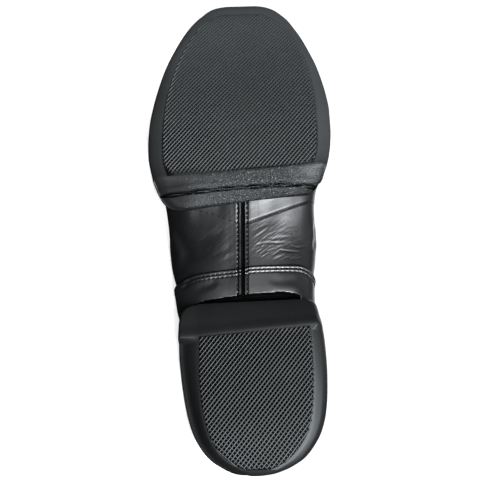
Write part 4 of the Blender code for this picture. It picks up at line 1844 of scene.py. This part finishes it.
        # Grain, and with it the lighter pebble tone, fades on the lateral side as painted light from the
        # medial side.
        smooth = ramp(-y, self.sizes.smooth_from, self.sizes.smooth_from + self.smooth_run)
        grades = [amount * ramp(y, start, end) for start, end, amount in self.grain_light_steps]
        grain = np.interp(places, grain_x, grain) * below * (1.0 - smooth) * (self.grain_least + sum(grades))
        builder.grid(points, shade_painted_quads(dark, self.deep_shade), grain=grain, wear=wear, pit=dark)
        builder.cap(points[0], flip=True)
        builder.cap(points[-1], flip=False)
        for ridge, faces, crest, leading in self.lattice.ridges(self.outline(), self.lift):
            low = np.interp(ridge[:, 0], wear_x, valley)
            top = np.interp(ridge[:, 0], wear_x, first if leading else second)
            # Painted shade on the ridges' lower flanks.
            deep_shade = np.interp(ridge[:, 0], wear_x, pit) * (1.0 - ramp(crest, *self.crest_low))
            slots = (deep_shade[np.array(faces)].mean(axis=1) > self.deep_shade).astype(int)
            builder.add(ridge, faces, slots, wear=low + (top - low) * crest, pit=deep_shade)
        return builder.build(pose, [rubber, painted_shade_finish])


@dataclass
class ForefootSole(MouldedSole):
    """Forefoot sole with the wavy double crease across its rear."""

    crease_base: Table = (
        (-46, 126.9), (-34.5, 127.2), (-24.9, 128), (-16.7, 128.6), (-9.9, 129.2), (-1.7, 129.7), (5, 130),
        (11.3, 130.3), (17.1, 130.5), (25.9, 130.2), (36, 129.6),
    )
    crease_gap: float = 0.6
    crease_wave: float = 13.0
    crease_width: float = 0.34
    crease_depth: float = 1.6
    strip_roll: float = 1.8
    strip_end: Span = (133.0, 138.5)
    strip_lateral: Span = (24.0, 43.0)
    strip_medial: Span = (12.0, 39.0)
    # Cut share over which the crease lines take painted shade.
    line_shade: Span = (0.15, 0.6)
    line_medial: Span = (34.6, 36.0)
    line_lateral: Span = (41.4, 43.0)
    wave_shift: float = 3.0
    swell_rows: Table = ((2.6, 0.25), (-2.6, 0.2))
    swell_width: float = 1.2

    def carve(self, x: Array, y: Array) -> Array:
        """Cut the two crease lines.

        Args:
            x: Places along the shoe.
            y: Places across the shoe.

        Returns:
            Heights to add.
        """
        strip = 1.0 - ramp(x, *self.strip_end)
        roll = self.strip_roll * (ramp(-y, *self.strip_lateral) + ramp(y, *self.strip_medial)) * strip
        cut, swell = self._lines(x, y)
        return self.crease_depth * cut - swell + roll

    def painted_shade_marks(self, x: Array, y: Array) -> Array:
        """Painted shade in the crease lines."""
        return ramp(self._lines(x, y)[0], *self.line_shade)

    def _lines(self, x: Array, y: Array) -> tuple[Array, Array]:
        """The two crease lines and the soft swell beside them.

        Args:
            x: Places along the shoe.
            y: Places across the shoe.

        Returns:
            One inside a line, and the swell's height.
        """
        across, base = np.array(self.crease_base).T
        centre = steady_curve(across, base, np.clip(y, across[0], across[-1])) - y * np.tan(self.slant(x))
        gap = self.crease_gap * np.abs(np.sin(math.pi * (y + self.wave_shift) / self.crease_wave))
        cut = np.maximum(*(bell(x - centre, sign * gap, self.crease_width) for sign in (-1.0, 1.0)))
        swell = sum(high * bell(x - centre, place, self.swell_width) for place, high in self.swell_rows)
        inside = (1.0 - ramp(y, *self.line_medial)) * (1.0 - ramp(-y, *self.line_lateral))
        return cut * inside, swell * inside


FORE_SECOND = 0.7
FORE_WALL = ((2.4, 0), (0.8, 0.15), (0, 0.42), (0.2, 0.8), (1, 1))
FORE_SIZES = SoleSizes(
    name="forefoot_rubber",
    rows=(
        (123.8, 30, 30.6, 23, 25, 6.8, 6.8, 9.8),
        (124.3, 34.6, 32, 28, 26.6, 6.2, 6.2, 9.6),
        (125.4, 38.4, 33, 33, 28, 5.5, 5.5, 9.2),
        (127.4, 41.2, 34.2, 35.4, 29, 4.3, 4.3, 8.6),
        (129, 42.1, 35.1, 36, 29.4, 3.5, 3.5, 8.3),
        (130.4, 42.8, 36.6, 36.6, 30, 2.8, 2.8, 8),
        (134, 44.2, 38, 37.2, 30.8, 1.6, 1.6, 7.3),
        (137.4, 45.3, 39.3, 37.6, 31.6, 1, 1, 7),
        (138, 45.4, 39.5, 37.8, 32, 1, 0, 6.9),
        (142, 46.3, 40.6, 39, 33.8, 1, 0, 6.7),
        (149, 47.5, 41.8, 39.9, 34.8, 1, 0, 6.6),
        (157, 47.8, 42.4, 40.1, 35.2, 1, 0, 6.6),
        (166, 47.3, 42.4, 39.7, 35.2, 1, 0, 6.6),
        (176, 45.6, 41.4, 38.5, 34.8, 1, 0, 6.6),
        (186, 43.1, 39.7, 36.3, 33.8, 1, 0, 6.6),
        (196, 40.1, 37.5, 33.5, 32, 1, 0, 6.6),
        (206, 36.3, 34.3, 29.9, 29.3, 1, 0, 6.6),
        (215, 32.5, 31, 26, 25.8, 1, 0, 6.7),
        (222, 29, 27.8, 21.8, 21.6, 1, 0, 6.8),
        (228, 25.2, 24.8, 15.8, 15.8, 1, 0, 6.9),
        (231, 22.8, 22.6, 10.4, 10.4, 1, 0, 7),
        (231.6, 22.2, 22.1, 9.6, 9.6, 1, 1, 7),
        (235, 19.4, 19.2, 8.4, 8.4, 1.1, 1.1, 7.1),
        (237.4, 16.8, 16.4, 7.2, 7.2, 1.5, 1.5, 7.1),
        (239.2, 13.6, 13.4, 6, 6, 2.2, 2.2, 7),
        (240, 10, 10, 4.8, 4.8, 3.4, 3.4, 6.2),
    ),
    wall=FORE_WALL,
    wall_medial=FORE_WALL,
    stations=((123.8, 125, 0.3), (125, 134, 0.22), (134, 139, 0.5), (139, 230, 1.5), (230, 240, 0.4)),
    slant=3.5,
    slant_from=165.0,
    slant_to=205.0,
    slant_grows=False,
    tread_from=138.0,
    tread_to=231.0,
    tread_turn=4.0,
    corner=6.0,
    rim_roll=0.6,
    roll_medial=0.6,
    roll_power=2.0,
    roll_fade=(300.0, 301.0),
    front_slant=0.0,
    rear_slant=2.6,
    grain_rows=((121, 1), (137, 1), (139.5, 0), (140, 0)),
    smooth_from=26.0,
    # Columns: x, painted shade in the tread's bed, wear of the bed, and crest tone of the leading and of the
    # second ridges, painted highlight mixed with wear.
    shade_wear_glint_rows=(
        (121, 0, 0, 0, 0), (137.4, 0, 0, 0, 0), (138, 0.92, 0, 1, 0.1), (155, 0.85, 0.015, 0.85, 0.11),
        (170, 0.55, 0.05, 0.48, 0.2), (190, 0.25, 0.085, 0.25, 0.19), (212, 0, 0.112, 0.17, 0.15),
        (240, 0, 0.122, 0.15, 0.15),
    ),
    # Columns: x, lateral and medial rim tone: wear toward the toe, with the medial rim lighter as painted
    # sheen.
    rim_wear_sheen_rows=(
        (121, 0, 0.01), (137, 0, 0.03), (146, 0.025, 0.1), (180, 0.065, 0.12), (205, 0.135, 0.15),
        (225, 0.165, 0.165), (240, 0.185, 0.185),
    ),
)

HEEL_SIZES = SoleSizes(
    name="heel_rubber",
    rows=(
        (0, 5.6, 5.6, 0.8, 0.8, 4.4, 4.4, 11),
        (0.5, 8.2, 8.8, 1.2, 1.4, 3, 3, 11.6),
        (1.6, 10.9, 12.2, 1.8, 3, 1.5, 1.5, 12),
        (2.5, 12.7, 14.6, 3.4, 5, 1, 1, 12.1),
        (2.9, 13.4, 15.5, 4.4, 6.4, 0.8, 0, 12.2),
        (6.5, 18.9, 21.7, 11, 13.8, 0.8, 0, 12.2),
        (11, 22.9, 25.9, 15.6, 18.6, 0.8, 0, 12.1),
        (17, 26.3, 29.7, 19, 22.6, 0.8, 0, 12),
        (25, 28.9, 32.2, 21.4, 25.1, 0.8, 0, 11.9),
        (34, 30.6, 33.4, 22.6, 26.3, 0.8, 0, 11.8),
        (44, 31.8, 33.9, 23.2, 26.8, 0.8, 0, 11.8),
        (54, 32.6, 33.6, 23.2, 26.8, 0.8, 0, 11.9),
        (60.4, 32.7, 32.9, 23, 26.4, 0.8, 0, 12),
        (61, 32.7, 32.8, 23, 26.2, 0.8, 0.8, 12),
        (66, 32.7, 32, 22.6, 24.4, 3, 3, 12.3),
        (70.4, 32.1, 31.4, 21.4, 22.4, 5, 5, 12.6),
        (73.4, 29.6, 30.4, 19.4, 19.8, 6.5, 6.5, 12.6),
        (75, 24, 28.4, 17.2, 16.6, 7.5, 7.5, 12.2),
    ),
    wall=(
        (2.9, 0), (2.5, 0.03), (2.2, 0.07), (1.6, 0.1), (0.5, 0.13), (0, 0.22), (0.1, 0.6), (0.3, 0.85),
        (1, 1),
    ),
    wall_medial=(
        (6.2, 0), (5, 0.03), (3.8, 0.08), (2.6, 0.15), (1.5, 0.24), (0.7, 0.35), (0.2, 0.48), (0, 0.65),
        (0.2, 0.86), (1, 1),
    ),
    stations=((0, 6, 0.4), (6, 57, 1.5), (57, 62, 0.3), (62, 73, 1), (73, 75, 0.3)),
    slant=4.4,
    slant_from=28.0,
    slant_to=58.0,
    slant_grows=True,
    tread_from=2.9,
    tread_to=61.2,
    tread_turn=5.0,
    corner=3.0,
    rim_roll=4.3,
    roll_medial=0.0,
    roll_power=1.5,
    roll_fade=(58.0, 61.2),
    front_slant=1.2,
    rear_slant=0.0,
    grain_rows=((0, 0), (80, 0)),
    smooth_from=0.0,
    # Columns: x, painted shade in the tread's bed, wear of the bed, and crest tone of the leading and of the
    # second ridges, painted highlight mixed with wear.
    shade_wear_glint_rows=(
        (0, 1, 0, 1, 0.75), (12, 1, 0, 1, 0.6), (28, 1, 0, 0.88, 0.18), (60.4, 1, 0, 0.74, 0.05),
        (61, 0, 0, 0.74, 0.05), (80, 0, 0, 0, 0),
    ),
    # Columns: x, lateral and medial rim tone: the lighter medial rim near the back is a painted highlight.
    rim_wear_sheen_rows=(
        (0, 0, 0.02), (8, 0, 0.07), (20, 0, 0.13), (30, 0, 0.09), (44, 0, 0.03), (60, 0, 0), (80, 0, 0),
    ),
)


@dataclass
class Sock:
    """Thin cloth sock on the floor inside the upper."""

    form: ShoeForm
    top: float = -3.7
    bottom: float = -1.75
    start: float = 3.0
    end: float = 23.0
    columns: int = 48
    row_step: float = 1.6
    flat_to: float = 0.985
    edge_drop: float = 0.5

    def build(self, pose: Array, cloth: Material) -> Piece:
        """Make the sock.

        Args:
            pose: Move from the shoe to the row.
            cloth: Material of the sock.

        Returns:
            The sock's object.
        """
        first, last = np.interp([self.start, self.end], self.form.stations, self.form.station_x)
        rows = np.concatenate([self.form.spread(first, last, self.row_step), [self.end]])
        flat = np.linspace(-self.flat_to, self.flat_to, self.columns)
        across = np.concatenate([[-1.0, -1.0], flat, [1.0, 1.0]])
        position, share = np.meshgrid(rows, across, indexing="ij")
        edge = self.form.by_side(self.form.sock_edge, position, share)
        points, normals = self.form.sample(position, share * edge)
        offset = np.full(share.shape, self.top)
        offset[:, [1, -2]] = self.top + self.edge_drop
        offset[:, [0, -1]] = self.bottom
        offset[[0, -1], :] = self.bottom
        builder = MeshBuilder("sock_lining")
        builder.grid(points + normals * offset[..., None], flip=True)
        return builder.build(pose, [cloth])


@dataclass
class Stitching:
    """Rows of short thread stitches laid on the leather."""

    form: ShoeForm
    upper: Upper
    panel: HeelPanel
    length: float = 1.2
    radius: float = 0.2
    sink: float = 0.12
    lap_pitch: float = 2.8
    rings: tuple[Span, ...] = ((0, 0.25), (0.14, 0.85), (0.5, 1), (0.86, 0.85), (1, 0.25))
    sides: int = 6
    reach: float = 0.2
    panel_runs: Table = ((-0.86, -0.05), (0.03, 0.86))
    panel_points: int = 700
    arch_run: tuple[float, float, int] = (93.5, 122.0, 200)
    heel_run: tuple[float, float, int] = (80.6, 91.4, 90)
    lap_points: int = 200
    collar_run: tuple[float, float, int] = (6.0, 112.0, 600)
    collar_below: float = 2.6
    tries: tuple[float, float, int] = (-0.45, 0.45, 401)

    def lines(self) -> list[tuple[Array, Array, Array, float]]:
        """Centre lines of the stitch rows.

        Returns:
            Points, outward normals, distance along the row and pitch for each row.
        """
        rows = []
        for back in self.panel.stitch_rows:
            for start, end in self.panel_runs:
                share = np.linspace(start, end, self.panel_points)
                line = self._panel_line(np.full(share.shape, back), share)
                rows.append((*line, self.panel.girth(share), self.panel.pitch))
        seam = self.upper.seam
        for offset in seam.stitch_rows:
            x = np.linspace(*self.arch_run)
            rows.append((*self._drawn_line(x, seam.centre(x) + offset), x, seam.pitch))
            x = np.linspace(*self.heel_run)
            rows.append((*self._panel_seam(x, offset), x, seam.pitch))
        lap = np.array(self.upper.laps[1].path)
        y = np.linspace(lap[0, 1], lap[-1, 1], self.lap_points)
        x = np.interp(-y, -lap[:, 1], lap[:, 0])
        rows.append((*self._drawn_line(x, y), -y, self.lap_pitch))
        for side in Side:
            x = np.linspace(*self.collar_run)
            position = self.form.position(x)
            girth = self.form.length(position, np.full(x.shape, side.value))
            share = side.value * (1.0 - self.collar_below / girth)
            points, normals = self.form.sample(position, share)
            rise = self.upper.relief(points, share) + self.upper.band_rise
            rows.append((points + normals * rise[:, None], normals, x, self.panel.pitch))
        return rows

    def _share_at(self, x: Array, y: Array) -> Array:
        """Share of the girth at a point of the floor.

        Args:
            x: Places along the shoe.
            y: Places across the shoe.

        Returns:
            Signed shares.
        """
        tries = np.linspace(*self.tries)
        shares = []
        for place, across in zip(x, y):
            position = np.full(tries.shape, float(self.form.position(place)))
            points, _ = self.form.sample(position, tries)
            shares.append(np.interp(across, points[:, 1], tries))
        return np.array(shares)

    def _drawn_line(self, x: Array, y: Array) -> tuple[Array, Array]:
        """Points and normals of a line on the upper's floor."""
        share, position = self._share_at(x, y), self.form.position(x)
        return self.upper.surface(position, share), self.form.sample(position, share)[1]

    def _panel_seam(self, x: Array, offset: float) -> tuple[Array, Array]:
        """Line beside the centre seam on the heel panel."""
        share = self._share_at(x, self.upper.seam.centre(x) + offset)
        return self._panel_line(self.panel.edge_x(share) - x, share)

    def _panel_line(self, back: Array, share: Array) -> tuple[Array, Array]:
        """Points and normals of a line on the heel panel, by distances behind its front edge."""
        position = self.form.position(self.panel.edge_x(share) - back)
        return self.panel.surface(back, share), self.form.sample(position, share)[1]

    def build(self, pose: Array, thread: Material) -> Piece:
        """Make every stitch.

        Args:
            pose: Move from the shoe to the row.
            thread: Material of the thread.

        Returns:
            The stitches' object.
        """
        builder = MeshBuilder("seam_stitches")
        for points, normals, run, pitch in self.lines():
            first, last = math.ceil(run[0] / pitch), math.floor(run[-1] / pitch)
            for number in range(first, last + 1):
                self._stitch(builder, points, normals, run, number * pitch - 0.5 * self.length)
        return builder.build(pose, [thread])

    def _at(self, place: float, run: Array, values: Array) -> Array:
        """Point or normal at a place along a row."""
        return np.array([np.interp(place, run, values[:, axis]) for axis in range(3)])

    def _stitch(self, builder: MeshBuilder, points: Array, normals: Array, run: Array, start: float) -> None:
        """Add one stitch.

        Args:
            builder: Mesh to add to.
            points: Centre line of the row.
            normals: Outward normals along the row.
            run: Distance along the row at each point.
            start: Where the stitch starts.
        """
        loops = []
        turns = np.linspace(0.0, 2.0 * math.pi, self.sides + 1)
        for share, size in self.rings:
            place = start + share * self.length
            out = unit(self._at(place, run, normals))
            ahead, behind = (self._at(place + step, run, points) for step in (self.reach, -self.reach))
            side = unit(np.cross(out, ahead - behind))
            rise = 0.5 * self.radius - self.sink * (2.0 * share - 1.0) ** 4
            middle = self._at(place, run, points) + out * rise
            round_way = [out * math.sin(turn) + side * math.cos(turn) for turn in turns]
            loops.append([middle + way * self.radius * size for way in round_way])
        builder.grid(np.array(loops))


@dataclass(frozen=True)
class PhotoCamera:
    """Camera square to the sole, a little behind the arch."""

    focal_px: float = 560.0
    picture_px: float = 484.0
    sensor: float = 36.0
    tilt: float = 15.0
    roll: float = -1.5136
    distance: float = 258.52
    clip: Span = (0.01, 20.0)
    aim: Triple = (101.55, -2.879, 0.0)

    def build(self, pose: Array) -> None:
        """Make the camera and use it.

        Args:
            pose: Move from the shoe to the row.
        """
        tilt, roll = math.radians(self.tilt), math.radians(self.roll)
        back = np.array([-math.sin(tilt), 0.0, -math.cos(tilt)])
        up = np.array([math.cos(tilt), 0.0, -math.sin(tilt)])
        right = np.array([0.0, 1.0, 0.0])
        axes = [math.cos(roll) * right + math.sin(roll) * up,
                math.cos(roll) * up - math.sin(roll) * right, back]
        place = pose[:3, :3] @ (np.array(self.aim) + self.distance * back) + pose[:3, 3]
        matrix = np.eye(4)
        for column, axis in enumerate(axes):
            matrix[:3, column] = unit(pose[:3, :3] @ axis)
        matrix[:3, 3] = place
        data = bpy.data.cameras.new("photo_camera")
        data.sensor_width = self.sensor
        data.lens = self.sensor * self.focal_px / self.picture_px
        data.clip_start, data.clip_end = self.clip
        camera = placed("photo_camera", data)
        camera.matrix_world = Matrix(matrix.tolist())
        bpy.context.scene.camera = camera


@dataclass(frozen=True)
class Lamp:
    """One soft square light."""

    name: str
    place: Triple
    aim: Triple
    size: float
    power: float

    def build(self) -> None:
        """Make the light."""
        data = bpy.data.lights.new(self.name, "AREA")
        data.shape, data.size, data.energy = "SQUARE", self.size, self.power
        lamp = placed(self.name, data)
        lamp.location = self.place
        lamp.rotation_mode = "QUATERNION"
        lamp.rotation_quaternion = (Vector(self.aim) - Vector(self.place)).to_track_quat("-Z", "Y")


@dataclass
class Studio:
    """White sweep, soft lights and a dim surround."""

    floor_z: float = -0.0006
    bend_from: float = 1.3
    bend_radius: float = 0.6
    wall_top: float = 2.6
    around: int = 49
    bend_rows: int = 16
    surround: float = 0.03
    lamps: tuple[Lamp, ...] = (
        Lamp("key", (0.45, -0.87, 0.32), SHOE_MIDDLE, 0.4, 24.0),
        Lamp("front", (-0.22, -0.8, 0.18), SHOE_MIDDLE, 0.35, 1.3),
        Lamp("side", (0.58, -0.6, 0.56), SHOE_MIDDLE, 0.4, 8.0),
        Lamp("overhead", (0.2, -0.25, 0.95), SHOE_MIDDLE, 0.7, 1.0),
        Lamp("rear", (-0.3, 0.9, 0.7), (0.0, 0.0, 0.04), 0.8, 4.0),
    )

    def sweep(self, paper: Material) -> None:
        """Make the floor that bends up into a wall all round.

        Args:
            paper: Material of the sweep.
        """
        turns = np.linspace(0.0, 0.5 * math.pi, self.bend_rows)
        reach = self.bend_from + self.bend_radius * np.sin(turns)
        rises = self.floor_z + self.bend_radius * (1.0 - np.cos(turns))
        line = [(0.0, self.floor_z), *zip(reach, rises), (reach[-1], self.wall_top)]
        angles = np.linspace(0.0, 2.0 * math.pi, self.around)
        round_way = [(math.cos(angle), math.sin(angle)) for angle in angles]
        grid = np.array([[(out * x, out * y, z) for x, y in round_way] for out, z in line])
        builder = MeshBuilder("studio_sweep")
        builder.grid(grid)
        floor = builder.build(np.eye(4), [paper])
        floor.visible_diffuse = False
        floor.visible_glossy = False

    def light(self) -> None:
        """Place the lights and the surround."""
        for lamp in self.lamps:
            lamp.build()
        world = bpy.data.worlds.new("studio")
        world.use_nodes = True
        back = world.node_tree.nodes["Background"]
        back.inputs["Color"].default_value = (1.0, 1.0, 1.0, 1.0)
        back.inputs["Strength"].default_value = self.surround
        bpy.context.scene.world = world
        bpy.context.scene.view_settings.view_transform = "Standard"


@dataclass
class DanceShoe:
    """The whole shoe."""

    form: ShoeForm = field(default_factory=ShoeForm)

    def build(self, pose: Array) -> None:
        """Make every piece, hang it under the root body and hide the solids that the pieces replace.

        Args:
            pose: Move from the shoe to the row.
        """
        upper = Upper(self.form)
        panel = HeelPanel(self.form, upper)
        tread = TreadLattice(turn=FORE_SIZES.tread_turn, second_share=FORE_SECOND)
        fore = ForefootSole(self.form, FORE_SIZES, tread)
        heel = MouldedSole(self.form, HEEL_SIZES, TreadLattice(turn=HEEL_SIZES.tread_turn))
        lining = ClothFinish("lining_cloth").make()
        # Painted shade: near-black leather for the faces inside gaps, grooves and stitch holes.
        painted_shade_finish = LeatherFinish("painted_shade_leather", **PAINTED_SHADE, coat=0.0).make()
        leather = LeatherFinish("upper_leather").make()
        self.keep(upper.build(pose, leather, lining, painted_shade_finish), "upper", "leather")
        leather = LeatherFinish("panel_leather", coat=0.2, gloss=0.58).make()
        self.keep(panel.build(pose, leather, painted_shade_finish), "heel_panel", "panel_leather")
        # Painted shade: near-black rubber for the tread valleys and the crease lines.
        deep_shade = RubberFinish("painted_shade_rubber", **PAINTED_SHADE).make()
        rubber = RubberFinish("forefoot_rubber").make()
        self.keep(fore.build(pose, rubber, deep_shade), "forefoot_outsole", "forefoot_rubber")
        self.keep(heel.build(pose, RubberFinish("heel_rubber").make(), deep_shade), "heel_outsole", "heel_rubber")
        self.keep(Sock(self.form).build(pose, ClothFinish("sock_cloth").make()), "insole", "sock_fabric")
        stitches = Stitching(self.form, upper, panel).build(pose, ThreadFinish().make())
        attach(stitches, "root")
        self.report(stitches)

    def keep(self, item: Piece, node: str, slot: str) -> None:
        """Let a piece stand for a solid.

        Args:
            item: The piece.
            node: The solid's node.
            slot: The record's material slot; not used.
        """
        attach(item, "root")
        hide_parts(node)
        self.report(item)

    def report(self, item: Piece) -> None:
        """Log the size of a piece."""
        triangles = sum(len(face.vertices) - 2 for face in item.data.polygons)
        LOG.info("%s: %d triangles", item.name, triangles)


def main() -> None:
    """Build the shoe, the studio and the camera."""
    logging.basicConfig(level=logging.INFO, format="%(message)s")
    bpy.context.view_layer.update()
    pose = ShoePose().matrix(frame["record"])
    DanceShoe().build(pose)
    studio = Studio()
    studio.sweep(StageFinish().make())
    studio.light()
    PhotoCamera().build(pose)


if __name__ == "__main__":
    main()
